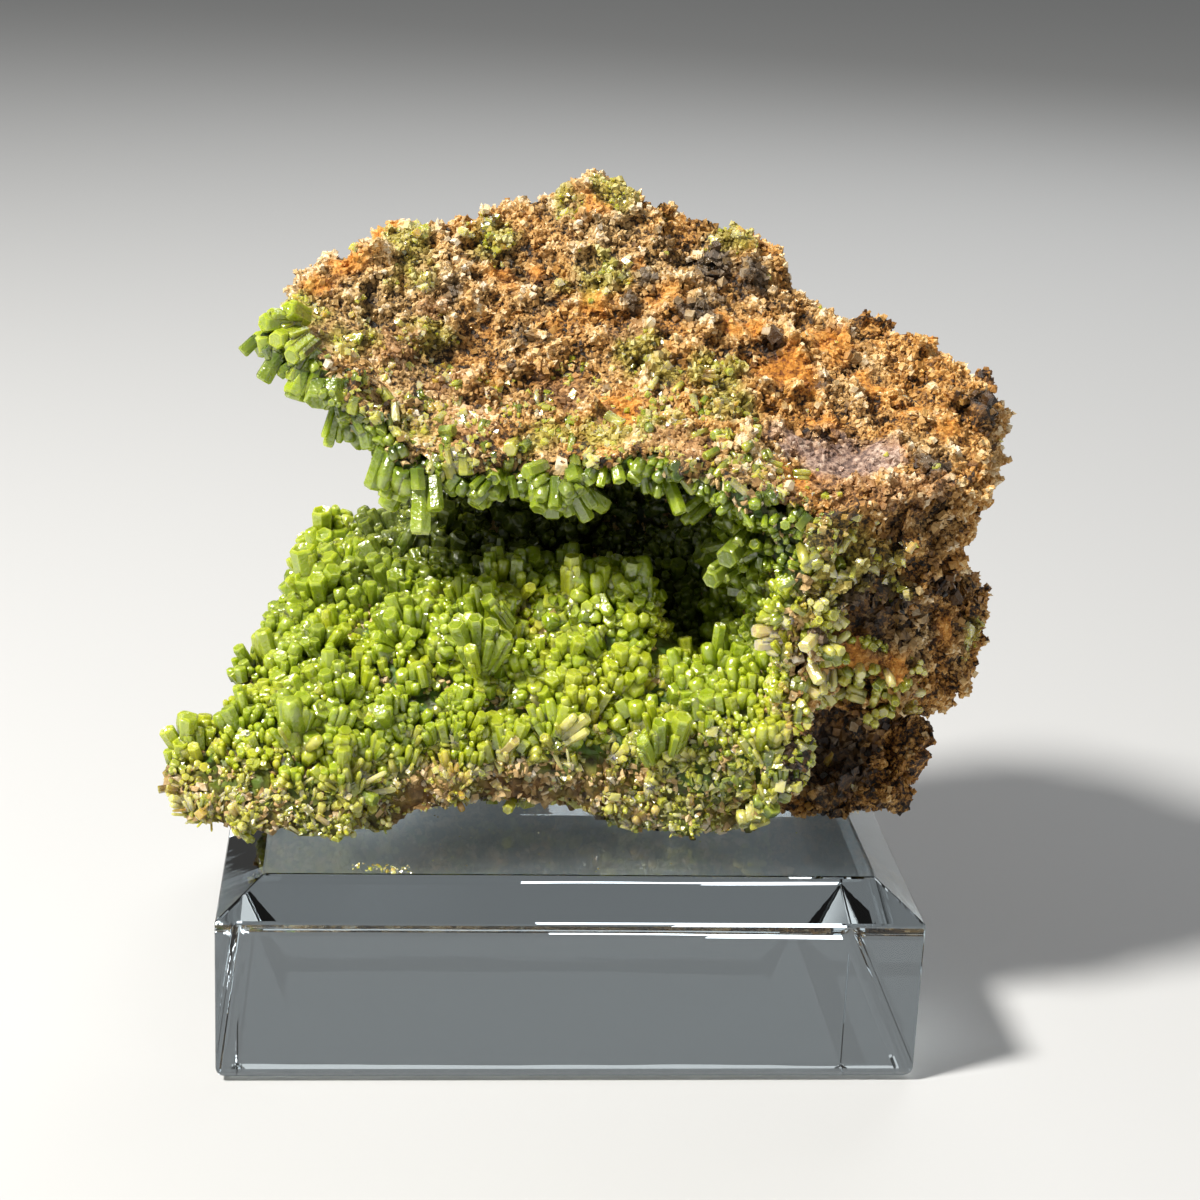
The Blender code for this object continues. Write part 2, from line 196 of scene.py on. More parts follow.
def merged_copy(node, name):
    """Copy of a CAD body with its loose triangles joined."""
    bm = bmesh.new()
    bm.from_mesh(node.data)
    bmesh.ops.remove_doubles(bm, verts=bm.verts, dist=1e-7)
    return finished(bm, name)


def apply_modifiers(item):
    graph = bpy.context.evaluated_depsgraph_get()
    graph.update()
    result = bpy.data.meshes.new_from_object(item.evaluated_get(graph), preserve_all_data_layers=True,
                                             depsgraph=graph)
    item.modifiers.clear()
    item.data = result


def triangles(item):
    return sum(len(face.vertices) - 2 for face in item.data.polygons)


def per_vertex(item, key):
    flat = np.empty(len(item.data.vertices) * 3, np.float32)
    item.data.vertices.foreach_get(key, flat)
    return flat.reshape(-1, 3).astype(float)


def places(item):
    return per_vertex(item, "co") / MM


def outward(item):
    return per_vertex(item, "normal")


def put_places(item, points):
    item.data.vertices.foreach_set("co", (points * MM).astype(np.float32).ravel())
    item.data.update()


def keep(item, name, values):
    """Stores one number or vector per vertex under a name."""
    values = np.asarray(values, np.float32)
    kind, key = ("FLOAT", "value") if values.ndim == 1 else ("FLOAT_VECTOR", "vector")
    layer = item.data.attributes.get(name) or item.data.attributes.new(name, kind, "POINT")
    layer.data.foreach_set(key, values.ravel())


def kept(item, name):
    """The numbers stored under a name."""
    values = np.zeros(len(item.data.vertices), np.float32)
    item.data.attributes[name].data.foreach_get("value", values)
    return values


def cloud(points, size, shift=0.0, kind=noise.noise):
    """Soft noise about -1 to 1, with lumps of this size in millimetres."""
    away = Vector((shift, shift * 0.7, shift * 1.3))
    return np.array([kind(Vector(p) / size + away) for p in points])


def cloud_vector(points, size, shift=0.0):
    return cloud(points, size, shift, noise.noise_vector)


def distance(tree, points):
    return np.array([tree.find_nearest(Vector(p) * MM)[3] / MM for p in points])


def smoothed(item, points, rounds):
    """The points after this many rounds of moving each to the middle of its neighbours."""
    ends = np.empty(len(item.data.edges) * 2, int)
    item.data.edges.foreach_get("vertices", ends)
    ends = ends.reshape(-1, 2)
    count = np.bincount(ends.ravel(), minlength=len(points))[:, None]
    for _ in range(rounds):
        total = np.zeros_like(points)
        for axis in range(3):
            total[:, axis] = (np.bincount(ends[:, 0], points[ends[:, 1], axis], len(points))
                              + np.bincount(ends[:, 1], points[ends[:, 0], axis], len(points)))
        points = total / count
    return points


def bunches(points, size, shift):
    """Cells of about this size: the way out from each one's middle, and 1 there to 0 at its border."""
    away, inner = [], []
    for point in points:
        spot = Vector(point) / size + Vector((shift, shift, shift))
        gaps, middles = noise.voronoi(spot)
        away.append(spot - middles[0])
        inner.append((gaps[1] - gaps[0]) / (gaps[1] + gaps[0]))
    return np.array(away), np.array(inner)


def is_bare(spots, ways, other, reach=2.4):
    """True for faces that look into the open, not at another body within reach."""
    bare = []
    for spot, way in zip(spots, ways):
        start = (Vector(spot) + Vector(way) * 0.05) * MM
        bare.append(other.ray_cast(start, Vector(way), reach * MM)[0] is None)
    return np.array(bare)


def body_tree(node):
    return BVHTree.FromPolygons([v.co for v in node.data.vertices], [p.vertices for p in node.data.polygons])


def hold_back(points, node, other):
    """Keeps the skin where two bodies touch from swelling out through the other one."""
    faces = node.data.polygons
    touching = ~is_bare(np.array([p.center for p in faces]) / MM, [p.normal for p in faces], other, 1.0)
    tree = body_tree(node)
    for i, point in enumerate(points):
        spot, way, face, _ = tree.find_nearest(Vector(point) * MM)
        proud = (Vector(point) - spot / MM).dot(way)
        if touching[face] and proud > 0:
            points[i] -= np.array(way) * proud
    return points


NO_LIMIT = 99


def room_behind(points, out, tree, skip=0.5):
    """How thick a body is straight in from each point, in millimetres. The first bit is skipped."""
    room = np.full(len(points), float(NO_LIMIT))
    for i, (point, way) in enumerate(zip(points, out)):
        far = tree.ray_cast(Vector(point - way * skip) * MM, Vector(-way))[3]
        if far is not None:
            room[i] = far / MM + skip
    return room


def near(points, patches, soft=0.5):
    """1 inside the nearest patch (x, y, z, radius), fading to 0 at its edge."""
    best = np.zeros(len(points))
    for x, y, z, radius in patches:
        reach = np.linalg.norm(points - (x, y, z), axis=1) / radius
        best = np.maximum(best, np.clip((1.0 + soft / 2 - reach) / soft, 0, 1))
    return best


def slide(values, start, end):
    """0 up to the start, 1 from the end on, and evenly in between. The end may be the lower one."""
    return np.clip((values - start) / (end - start), 0, 1)


def wandering(points, size, amount):
    """The points moved about by soft noise, so that a patch's edge wanders."""
    return points + cloud_vector(points, size) * amount


# %% [markdown]
# ## The limonite rock
#
# Limonite from a lead mine's weathered zone is a rusty sponge of iron hydroxides: walnut brown with
# ochre pockets, black glossy goethite seams, and a crumbly, sugary surface. The CAD body gives its
# outline. A voxel remesh makes an even skin on it, procedural displacement of four sizes and a layer
# of nodules break it into lumps and crumbs, and hollows and pits are pressed in by moving vertices,
# but never through the thin slab over the vug. The side that the photograph doesn't show gets its
# patches and hollows from a seeded draw. Grains are grown on it all later.

# %% Where the rock changes, in millimetres: x, y, z and radius
ROCK_PATCHES = {
    "ochre": [(-9, 17, 107, 3.7), (40, 9, 99, 4.3), (32, 1, 96, 4.5), (37, -7, 91, 2.9), (44, 3, 95, 3.3),
             (50, -2, 92, 2.7), (-38, 11, 105, 2.9), (15, 9, 105, 2.5), (23, 8, 101, 2.7),
             (28, 8, 100, 2.5), (44, -11, 90, 2.3), (55, -8, 91, 2.7), (10, 15, 109, 2.3),
             (56, -16, 62, 3.3), (40, -25, 58, 4.3), (48, -24, 57, 3.7), (-34, 13, 107, 2.5),
             (3, 10, 103, 2.1)],
    "goethite": [(-7, 6, 99, 2.2), (-4, 10, 102, 2), (-9, 3, 95, 1.8), (8, 14, 109, 2),
                (20, 23, 112, 3.2), (22, 19, 108, 4), (29, 18, 107, 3.4), (19, 8, 103, 3),
                (13, 20, 113, 3), (30, 5, 98, 2), (-18, 11, 103, 1.8), (6, -5, 94, 1.8), (15, -19, 86, 2),
                (36, -27, 82, 2.4), (10, 9, 104, 1.8), (41, 21, 102, 2.4), (60, -4, 93, 3),
                (44, -26, 65, 6.2), (39, -27, 67, 4.6), (54, -19, 66, 4.4), (34, -27, 63, 3),
                (41, -13, 40, 7), (30, -25, 43, 6), (49, -11, 43, 5), (51, -24, 74, 2.2),
                (4, 18, 113, 1.8), (37, 1, 95, 1.6), (14, 19, 112, 2), (17, 17, 108, 1.8),
                (24, 13, 105, 2.2), (11, 13, 107, 1.6), (30, 18, 106, 2),
                (-7, 7, 99, 1.6), (43, 8, 97, 1.4), (46, 7, 97, 1.2), (-10, -16, 33, 9),
                (6, -16, 33, 7), (-30, -18, 31, 6)],
    "olive": [(4, 12, 108, 4.6), (10, 2, 98, 4), (14, -3, 97, 3.4), (21, -3, 96, 4.4), (22, -9, 93, 4),
             (8, 27, 118, 4.6), (-25, 18, 111, 3.6), (-24, 13, 107, 3.2), (26, 25, 112, 4.2),
             (-33, 2, 99, 3.6), (-12, 21, 111, 4), (-22, 6, 99, 3.8), (-31, 6, 100, 3.4),
             (-2, 14, 106, 3), (-5, -10, 88, 4), (3, -11, 89, 3.8), (32, -28, 71, 5.6),
             (39, -28, 75, 5.2), (46, -26, 72, 4.4), (-40, 7, 103, 4.6), (-1, 25, 116, 2.8),
             (30, -28, 76, 4.2), (11, -13, 91, 4)],
    "lilac": [(35.5, -14, 88, 5), (39, -13, 87, 5.4), (42.5, -13.5, 87.5, 4.6), (31.6, -13.3, 89.5, 3.6)],
    "tan": [(-16, -6, 89, 4.6), (37, -21, 86, 5), (-26, 3, 98, 4), (26, -26, 83, 4), (51, -23, 83, 4),
           (44, -23, 85, 4), (7, 6, 100, 2.6), (-2, 0, 93, 4), (-20, 1, 94, 3.8), (17, -18, 89, 3),
           (-21, 10, 103, 2.6), (60, 4, 66, 5), (12, -15, 90, 3)],
}
PITS = [(-4, 10, 102, 1.8), (-9, 3, 95, 1.6), (8, 14, 109, 1.6), (15, -19, 86, 2), (36, -27, 82, 2),
        (42, 8, 98, 1.4), (22, 19, 108, 2), (-7, 6, 99, 1.8), (9, -5, 94, 1.4), (46, -25, 62, 2.4),
        (41, -27, 69, 2), (52, -19, 59, 1.8), (-11, 19, 109, 1.4), (28, 3, 98, 1.4), (3, -6, 92, 1.4),
        (-24, 2, 97, 1.2)]
DENTS = [(38, -13, 92, 9, 3.5), (-14, 4, 99, 5, 2.5), (2, -3, 96, 5, 2.5), (45, -27, 79, 6, 3.5),
         (36, -28, 80, 5, 2.5), (53, -22, 79, 5, 3), (44, -26, 66, 8, 4), (53, -20, 66, 6, 4),
         (30, -26, 43, 8, 4), (41, -14, 40, 9, 4), (50, -11, 43, 6, 3), (15, -19, 86, 4, 3),
         (-6, 8, 101, 5, 2.5), (20, 22, 111, 6, 2.5), (28, 2, 97, 6, 2.5), (60, -2, 90, 4, 2)]

# %% Rock body
def even_skin(item, voxel):
    step = item.modifiers.new("even skin", "REMESH")
    step.mode, step.voxel_size, step.adaptivity = "VOXEL", voxel * MM, 0.0


def roughen(item, kind, size, strength, **settings):
    """Pushes the surface in and out by a procedural pattern of this size in millimetres."""
    pattern = bpy.data.textures.new(f"{kind} {size} mm", kind)
    pattern.noise_scale = size * MM
    for key, value in settings.items():
        setattr(pattern, key, value)
    step = item.modifiers.new(pattern.name, "DISPLACE")
    step.texture, step.texture_coords = pattern, "GLOBAL"
    step.mid_level, step.strength = 0.5, strength * MM


BLOCK_TOP = 29.2
UPPER_SLAB, THINNED = 76, 0.42
lining_tree = body_tree(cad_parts["crystal_lining"])
rock_tree = body_tree(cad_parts["matrix"])
rock = merged_copy(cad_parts["matrix"], "limonite_rock")
even_skin(rock, 0.8)
apply_modifiers(rock)
start, start_out = places(rock), outward(rock)
room = room_behind(start, start_out, rock_tree) + NO_LIMIT * (start[:, 2] < UPPER_SLAB)
roughen(rock, "CLOUDS", 11.0, 6.0, noise_depth=1)
roughen(rock, "CLOUDS", 4.6, 4.2, noise_depth=1, noise_type="HARD_NOISE")
roughen(rock, "VORONOI", 3.0, -1.6)
roughen(rock, "CLOUDS", 1.5, 1.7, noise_depth=1, noise_type="HARD_NOISE")
apply_modifiers(rock)
put_places(rock, hold_back(places(rock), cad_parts["matrix"], lining_tree))
skin, out = places(rock), outward(rock)
HIDDEN_PATCHES = {"ochre": 22, "goethite": 20, "olive": 14, "tan": 14}
dice = random.Random(12)
hidden = np.flatnonzero((out @ np.array(ahead) > 0.15) & (skin[:, 2] > 34))
hollows = [(*skin[dice.choice(hidden)], dice.uniform(5, 12), dice.uniform(2, 4.5)) for _ in range(30)]
for patch, count in HIDDEN_PATCHES.items():
    ROCK_PATCHES[patch] += [(*skin[dice.choice(hidden)], dice.uniform(1.6, 4.2)) for _ in range(count)]
for x, y, z, radius, depth in [*DENTS, *hollows]:
    reach = np.linalg.norm(skin - (x, y, z), axis=1) / radius
    skin -= out * (np.clip(1 - reach, 0, 1) ** 0.7 * depth)[:, None]
for x, y, z, radius in PITS:
    reach = np.linalg.norm(skin - (x, y, z), axis=1) / radius
    skin -= out * (np.clip(1.25 - reach, 0, 1) * radius * 1.3)[:, None]
lumpy = np.clip(0.6 + 0.9 * cloud(skin, 14.0, 6.0), 0.2, 1)
skin += out * ((bunches(skin, 4.2, 0.2)[1] - 0.28) * 2.4 * lumpy)[:, None]
peak = (*skin[skin[:, 2].argmax()], 6.0)
flat = near(wandering(skin, 3.5, 2.4), ROCK_PATCHES["ochre"] + ROCK_PATCHES["lilac"], 0.3)
skin += (smoothed(rock, skin, 12) - skin) * np.maximum(0.65 * flat, near(skin, [peak], 0.8))[:, None]
sunk = ((start - skin) * start_out).sum(1)
skin += start_out * np.maximum(sunk - THINNED * room, 0)[:, None]
skin[:, 2] = np.maximum(skin[:, 2], BLOCK_TOP + 0.05)
put_places(rock, skin)
print("rock", triangles(rock), "triangles")

# %% Mark the rock's patches
def standing_out(item, rounds, full):
    """How far each vertex stands out of the smoothed surface, as a share of full millimetres, -1 to 1."""
    points = places(item)
    return np.clip(((points - smoothed(item, points, rounds)) * outward(item)).sum(1) / full, -1, 1)


skin = places(rock)
# Painted shade: the front of the rock under the upper slab's overhang is darkened.
painted_overhang_shade = slide(skin[:, 2], 79, 71) * slide(skin[:, 1], 12, 2)
crumbs, lumps = standing_out(rock, 10, 0.8), standing_out(rock, 50, 1.8)
# Painted shade and highlight: darker in hollows and under the overhang, paler on crumbs and lumps that stand
# out.
keep(rock, "painted_shade_and_highlight", 0.55 * crumbs + 0.4 * lumps - 0.42 * painted_overhang_shade)
wobble = wandering(skin, 3.5, 2.4)
for name, patches in ROCK_PATCHES.items():
    keep(rock, name, near(wobble, patches, 0.45))
blotch = cloud(skin, 9.0, 3.0) + 0.6 * cloud(skin, 3.5, 5.0)
blotch += (skin[:, 0] - 8) / 110 + 0.5 * cloud(skin, 24.0, 8.0)
keep(rock, "blotch", np.clip(blotch * 1.1 + 0.5, 0, 1))

# %% [markdown]
# ### Limonite, the finish
#
# Limonite is earthy and matt, but its crumbs catch the light where goethite has a skin on it. The
# colour runs from nearly black in the hollows over walnut and ochre to pale tan on crumbs that
# stand out, and the front under the overhang is darker: the black of the hollows and the overhang
# is painted shade, and the pale tan of standing crumbs a painted highlight. Noise of about a
# millimetre gives single crumbs, the marked patches push the colour towards ochre, black, olive,
# tan or lilac grey, and only the black patches and a few grains shine.

# %% Rock material
DULL = [(0.0, "#150f09"), (0.2, "#5a4422"), (0.42, "#b59259"), (0.72, "#e2c28a"), (1.0, "#f9edd6")]
RUSTY = [(0.0, "#1c1108"), (0.2, "#704818"), (0.42, "#b98134"), (0.72, "#e0b064"), (1.0, "#f9e2b2")]
PATCH_COLOURS = {
    "ochre": [(0.0, "#7a3f0c"), (0.45, "#cf8420"), (1.0, "#eeb04e")],
    "goethite": [(0.0, "#0a0807"), (0.6, "#241a18"), (1.0, "#4b3b37")],
    "olive": [(0.0, "#39330f"), (0.4, "#857a26"), (0.75, "#b0a53a"), (1.0, "#d6d187")],
    "tan": [(0.0, "#49301b"), (0.4, "#9a6f42"), (0.8, "#c79a67"), (1.0, "#ead2ae")],
    "lilac": [(0.0, "#5f4a44"), (0.5, "#ab9186"), (1.0, "#dccbc0")],
}
GLOSSY, GLINTING = 0.32, 0.14


def limonite(name, shine, loose):
    """loose: grains that carry a number of their own, in place of the noise on the rock's skin."""
    material, tree, shader, place = new_material(name)
    crumbs = add(tree, "ShaderNodeTexNoise", {"Vector": place, "Scale": 1 / (0.9 * MM), "Detail": 4.0,
                                              "Roughness": 0.75})
    if loose:
        own = output(add(tree, "ShaderNodeAttribute", {}, attribute_name="tone"), "Fac")
        drift = add(tree, "ShaderNodeTexNoise", {"Vector": place, "Scale": 1 / (2.4 * MM), "Detail": 2.0})
        drift = add(tree, "ShaderNodeMapRange", {"Value": drift, "From Min": 0.3, "From Max": 0.7})
        tone = add(tree, "ShaderNodeMix", {"Factor": 0.42, 2: own, 3: drift})
    else:
        tone = add(tree, "ShaderNodeMapRange", {"Value": crumbs, "From Min": 0.36, "From Max": 0.68})
    # Painted shade and highlight, marked on the rock: darker in hollows and under the overhang, paler on
    # crumbs that stand out.
    painted_shade_and_highlight = output(add(tree, "ShaderNodeAttribute", {}, attribute_name="painted_shade_and_highlight"), "Fac")
    shade = add(tree, "ShaderNodeMapRange", {"Value": painted_shade_and_highlight, "From Min": -1.0, "From Max": 0.6,
                                             "To Min": -0.28, "To Max": 0.28})
    tone = add(tree, "ShaderNodeMath", {0: tone, 1: shade}, operation="ADD")
    dull, rusty = [add(tree, "ShaderNodeValToRGB", {0: tone}, stops=stops) for stops in (DULL, RUSTY)]
    blotch = output(add(tree, "ShaderNodeAttribute", {}, attribute_name="blotch"), "Fac")
    colour = add(tree, "ShaderNodeMix", {"Factor": blotch, 6: dull, 7: rusty}, data_type="RGBA")
    amounts = {}
    for patch, stops in PATCH_COLOURS.items():
        amount = output(add(tree, "ShaderNodeAttribute", {}, attribute_name=patch), "Fac")
        amounts[patch] = add(tree, "ShaderNodeMath", {0: amount, 1: 0.85}, operation="MULTIPLY")
        paint = add(tree, "ShaderNodeValToRGB", {0: tone}, stops=stops)
        colour = add(tree, "ShaderNodeMix", {"Factor": amounts[patch], 6: colour, 7: paint}, data_type="RGBA")
    rough = add(tree, "ShaderNodeMapRange", {"Value": amounts["goethite"], "To Min": shine, "To Max": GLOSSY})
    if loose:
        glint = add(tree, "ShaderNodeMapRange", {"Value": own, "From Min": 0.90, "From Max": 0.93})
        rough = add(tree, "ShaderNodeMix", {"Factor": glint, 2: rough, 3: GLINTING})
    bump = add(tree, "ShaderNodeBump", {"Height": crumbs, "Strength": 0.9, "Distance": 0.5 * MM})
    wire(shader, {"Base Color": colour, "Roughness": rough, "IOR": 1.6, "Normal": bump})
    return material


rock.data.materials.clear()
rock.data.materials.append(limonite("earthy limonite", 0.8, loose=False))

# %% [markdown]
# ## Things that grow: one tree of Geometry Nodes
#
# Crystals and grains repeat thousands of times, so they are instances of a few stock shapes,
# scattered on a surface so that no two are nearer than their spacing. Each point reads four values
# that the surface carries: cover, how thickly things stand there, aim, the way they grow, and size
# and reach, which stretch them. The tree gives each instance its own turn, width and length and a
# number from 0 to 1 called tone, and then realizes them all into one mesh.

# %% The growing tree
def growing_tree():
    tree = bpy.data.node_groups.new("grow on a surface", "GeometryNodeTree")
    face = tree.interface
    face.new_socket("Surface", in_out="INPUT", socket_type="NodeSocketGeometry")
    face.new_socket("Stock", in_out="INPUT", socket_type="NodeSocketCollection")
    for label in ("Spacing", "Thinnest", "Widest", "Shortest", "Longest", "Scatter", "Sink"):
        face.new_socket(label, in_out="INPUT", socket_type="NodeSocketFloat")
    face.new_socket("Seed", in_out="INPUT", socket_type="NodeSocketInt")
    face.new_socket("Finish", in_out="INPUT", socket_type="NodeSocketMaterial")
    face.new_socket("Growth", in_out="OUTPUT", socket_type="NodeSocketGeometry")
    given = tree.nodes.new("NodeGroupInput").outputs

    cover, size, reach = [add(tree, "GeometryNodeInputNamedAttribute", {"Name": name}, data_type="FLOAT")
                          for name in ("cover", "size", "reach")]
    aim = add(tree, "GeometryNodeInputNamedAttribute", {"Name": "aim"}, data_type="FLOAT_VECTOR")
    points = add(tree, "GeometryNodeDistributePointsOnFaces", {
        "Mesh": given["Surface"], "Distance Min": given["Spacing"], "Density Max": 4e6,
        "Density Factor": cover, "Seed": given["Seed"]}, distribute_method="POISSON")
    # tone and length draw with one seed, so tone follows length
    seeds = [add(tree, "ShaderNodeMath", {0: given["Seed"], 1: float(k)}, operation="ADD") for k in range(5)]
    loose, width, length, tone, pick, spin = [
        add(tree, "FunctionNodeRandomValue", {"Min": low, "Max": high, "Seed": seeds[k]}, data_type=kind)
        for k, kind, low, high in [
            (0, "FLOAT_VECTOR", (-1, -1, -1), (1, 1, 1)), (1, "FLOAT", given["Thinnest"], given["Widest"]),
            (2, "FLOAT", given["Shortest"], given["Longest"]), (2, "FLOAT", 0.0, 1.0), (3, "INT", 0, 60),
            (4, "FLOAT_VECTOR", (0, 0, 0), (0, 0, 6.283))]]
    loose = add(tree, "ShaderNodeVectorMath", {0: loose, "Scale": given["Scatter"]}, operation="SCALE")
    way = add(tree, "ShaderNodeVectorMath", {0: aim, 1: loose}, operation="ADD")
    upright = add(tree, "FunctionNodeAlignRotationToVector", {"Vector": way}, axis="Z")
    width = add(tree, "ShaderNodeMath", {0: width, 1: size}, operation="MULTIPLY")
    length = add(tree, "ShaderNodeMath", {0: length, 1: size}, operation="MULTIPLY")
    length = add(tree, "ShaderNodeMath", {0: length, 1: reach}, operation="MULTIPLY")
    scale = add(tree, "ShaderNodeCombineXYZ", {"X": width, "Y": width, "Z": length})
    stock = add(tree, "GeometryNodeCollectionInfo", {
        "Collection": given["Stock"], "Separate Children": True, "Reset Children": True})
    crop = add(tree, "GeometryNodeInstanceOnPoints", {
        "Points": points, "Instance": stock, "Pick Instance": True, "Instance Index": pick,
        "Rotation": upright, "Scale": scale})
    crop = add(tree, "GeometryNodeRotateInstances", {"Instances": crop, "Rotation": spin})
    depth = add(tree, "ShaderNodeCombineXYZ", {"Z": given["Sink"]})
    crop = add(tree, "GeometryNodeTranslateInstances", {"Instances": crop, "Translation": depth})
    noted = {"Geometry": crop, "Name": "tone", "Value": tone}
    crop = add(tree, "GeometryNodeStoreNamedAttribute", noted, data_type="FLOAT", domain="INSTANCE")
    crop = add(tree, "GeometryNodeRealizeInstances", {"Geometry": crop})
    crop = add(tree, "GeometryNodeSetMaterial", {"Geometry": crop, "Material": given["Finish"]})
    add(tree, "NodeGroupOutput", {"Growth": crop})
    return tree


GROW = growing_tree()
TOP_HALF_WIDTH, TOP_HALF_DEPTH = 44, 34


def grow(name, surface, stock, finish, spacing, width, length, scatter, sink, seed):
    """Grows stock shapes on a surface, which it uses up; sizes in millimetres. Returns a plain object."""
    carrier = put_out(name, surface.data.copy())
    step = carrier.modifiers.new("grow", "NODES")
    step.node_group = GROW
    values = {"Stock": stock, "Spacing": spacing * MM, "Thinnest": width[0] * MM, "Widest": width[1] * MM,
              "Shortest": length[0] * MM, "Longest": length[1] * MM, "Scatter": scatter, "Sink": sink * MM,
              "Seed": seed, "Finish": finish}
    for socket in GROW.interface.items_tree:
        if socket.name in values:
            step[socket.identifier] = values[socket.name]
    apply_modifiers(carrier)
    bpy.data.objects.remove(surface)
    points = places(carrier)
    over_block = (np.abs(points[:, 0]) < TOP_HALF_WIDTH) & (np.abs(points[:, 1]) < TOP_HALF_DEPTH)
    points[over_block, 2] = np.maximum(points[over_block, 2], BLOCK_TOP + 0.02)
    put_places(carrier, points)
    print(name, triangles(carrier), "triangles")
    return carrier


def keep_faces(item, name, chosen):
    """New object with only the chosen faces of a mesh, its attributes kept."""
    twin = put_out(name, item.data.copy())
    bm = bmesh.new()
    bm.from_mesh(twin.data)
    bm.faces.ensure_lookup_table()
    gone = [face for face in bm.faces if not chosen[face.index]]
    bmesh.ops.delete(bm, geom=gone, context="FACES")
    bm.to_mesh(twin.data)
    bm.free()
    return twin


# %% [markdown]
# ### Stock shapes
#
# Pyromorphite grows as six-sided prisms with a flat end. Many bulge like a barrel, some end in a
# sunken hopper, and many are bundles that grew side by side. Each stock shape is one unit wide and
# one long, with a chamfer round its end that catches the light. The rock's grains are small chips.

# %% Crystal and grain stock
def add_column(bm, along, rings, centre=(0.0, 0.0), height=1.0, lean=(0.0, 0.0), dice=None, turn=0.0,
               soft=False):
    """Closed six-sided column through rings of (height, radius, how pale the crystal is painted there:
    painted shade at the foot, painted highlight on the end's rim).
    """
    uneven = [dice.uniform(0.9, 1.08) for _ in range(6)]
    loops = []
    for level, radius, pale in rings:
        loop = []
        for k in range(6):
            angle = turn + k * math.pi / 3
            point = bm.verts.new((centre[0] + lean[0] * level + radius * uneven[k] * math.cos(angle),
                                  centre[1] + lean[1] * level + radius * uneven[k] * math.sin(angle),
                                  level * height))
            point[along] = pale
            loop.append(point)
        loops.append(loop)
    for low, high in zip(loops, loops[1:]):
        for k in range(6):
            bm.faces.new((low[k], low[(k + 1) % 6], high[(k + 1) % 6], high[k])).smooth = soft
    bm.faces.new(loops[0][::-1])
    bm.faces.new(loops[-1])


def stock_shape(group, name, columns, seed):
    dice = random.Random(seed)
    bm = bmesh.new()
    along = bm.verts.layers.float.new("along")
    for column in columns:
        add_column(bm, along, dice=dice, **column)
    finished(bm, name, group)


# The third number of each ring is how pale the crystal is painted there: low at the foot for painted shade,
# highest on the rim of the end for a painted highlight, lower again in the end's middle.
PLAIN = [(0.0, 0.46, 0.0), (0.93, 0.50, 0.9), (1.0, 0.41, 1.0), (0.985, 0.28, 0.72)]
BARREL = [(0.0, 0.42, 0.0), (0.6, 0.53, 0.6), (0.92, 0.44, 0.9), (1.0, 0.30, 1.0), (0.985, 0.16, 0.75)]
HOPPER = [(0.0, 0.44, 0.0), (0.94, 0.50, 0.9), (1.0, 0.42, 1.0), (0.9, 0.22, 0.5)]


def column(rings, share, centre=(0.0, 0.0), height=1.0, lean=(0.0, 0.0), turn=0.0):
    return dict(rings=[(level, radius * share, pale) for level, radius, pale in rings], centre=centre,
                height=height, lean=lean, turn=turn, soft=rings is BARREL)


CRYSTAL_SHAPES = [
    ("a plain", 1, [column(PLAIN, 1.0)]),
    ("b barrel", 3, [column(BARREL, 1.0)]),
    ("c hopper", 4, [column(HOPPER, 1.0)]),
    ("d pair", 6, [column(PLAIN, 0.92, (-0.16, 0.0)),
                   column(BARREL, 0.74, (0.42, 0.12), 0.86, (0.12, 0.05), 0.3)]),
    ("e bundle", 7, [column(BARREL, 0.86, (-0.2, -0.12)),
                     column(BARREL, 0.7, (0.34, -0.2), 0.9, (0.1, -0.05), 0.4),
                     column(PLAIN, 0.62, (0.06, 0.36), 0.8, (0.0, 0.12), 0.7)]),
    ("f sheaf", 8, [column(PLAIN, 0.8),
                    column(BARREL, 0.6, (0.4, 0.14), 0.85, (0.2, 0.06), 0.2),
                    column(PLAIN, 0.56, (-0.34, 0.26), 0.78, (-0.18, 0.14), 0.5),
                    column(PLAIN, 0.54, (-0.06, -0.42), 0.7, (0.0, -0.22), 0.9)]),
]
crystals = bpy.data.collections.new("crystal stock")
for name, seed, columns in CRYSTAL_SHAPES:
    stock_shape(crystals, name, columns, seed)
minis = bpy.data.collections.new("small prism stock")
for k in range(3):
    rings = [(0.0, 0.44, 0.0), (0.85, 0.5, 0.85), (1.0, 0.34 - 0.06 * k, 1.0)]
    stock_shape(minis, f"prism {k}", [column(rings, 1.0)], 20 + k)

chips = bpy.data.collections.new("grain stock")
for k, sides in enumerate([4, 5, 4, 0]):
    dice = random.Random(40 + k)
    bm = bmesh.new()
    if sides:
        bmesh.ops.create_uvsphere(bm, u_segments=sides, v_segments=2, radius=0.52)
    else:
        bmesh.ops.create_cube(bm, size=0.8)
    bmesh.ops.triangulate(bm, faces=bm.faces)
    along = bm.verts.layers.float.new("along")
    for point in bm.verts:
        point.co += Vector([dice.uniform(-0.16, 0.16) for _ in range(3)])
        point[along] = dice.uniform(0.5, 1.0)
    finished(bm, f"chip {k}", chips)

# %% [markdown]
# ### Grains on the rock
#
# The rock's surface is a crust of crumbs half a millimetre to a millimetre across. They are chips
# grown on the rock's own skin, denser where the specimen is seen, with the rock's patches carried
# over to each grain, so that the colour of a patch doesn't stop at the skin. Olive grains and small
# crystals come up to the border with the vug, so those two skins are marked here and grown later.

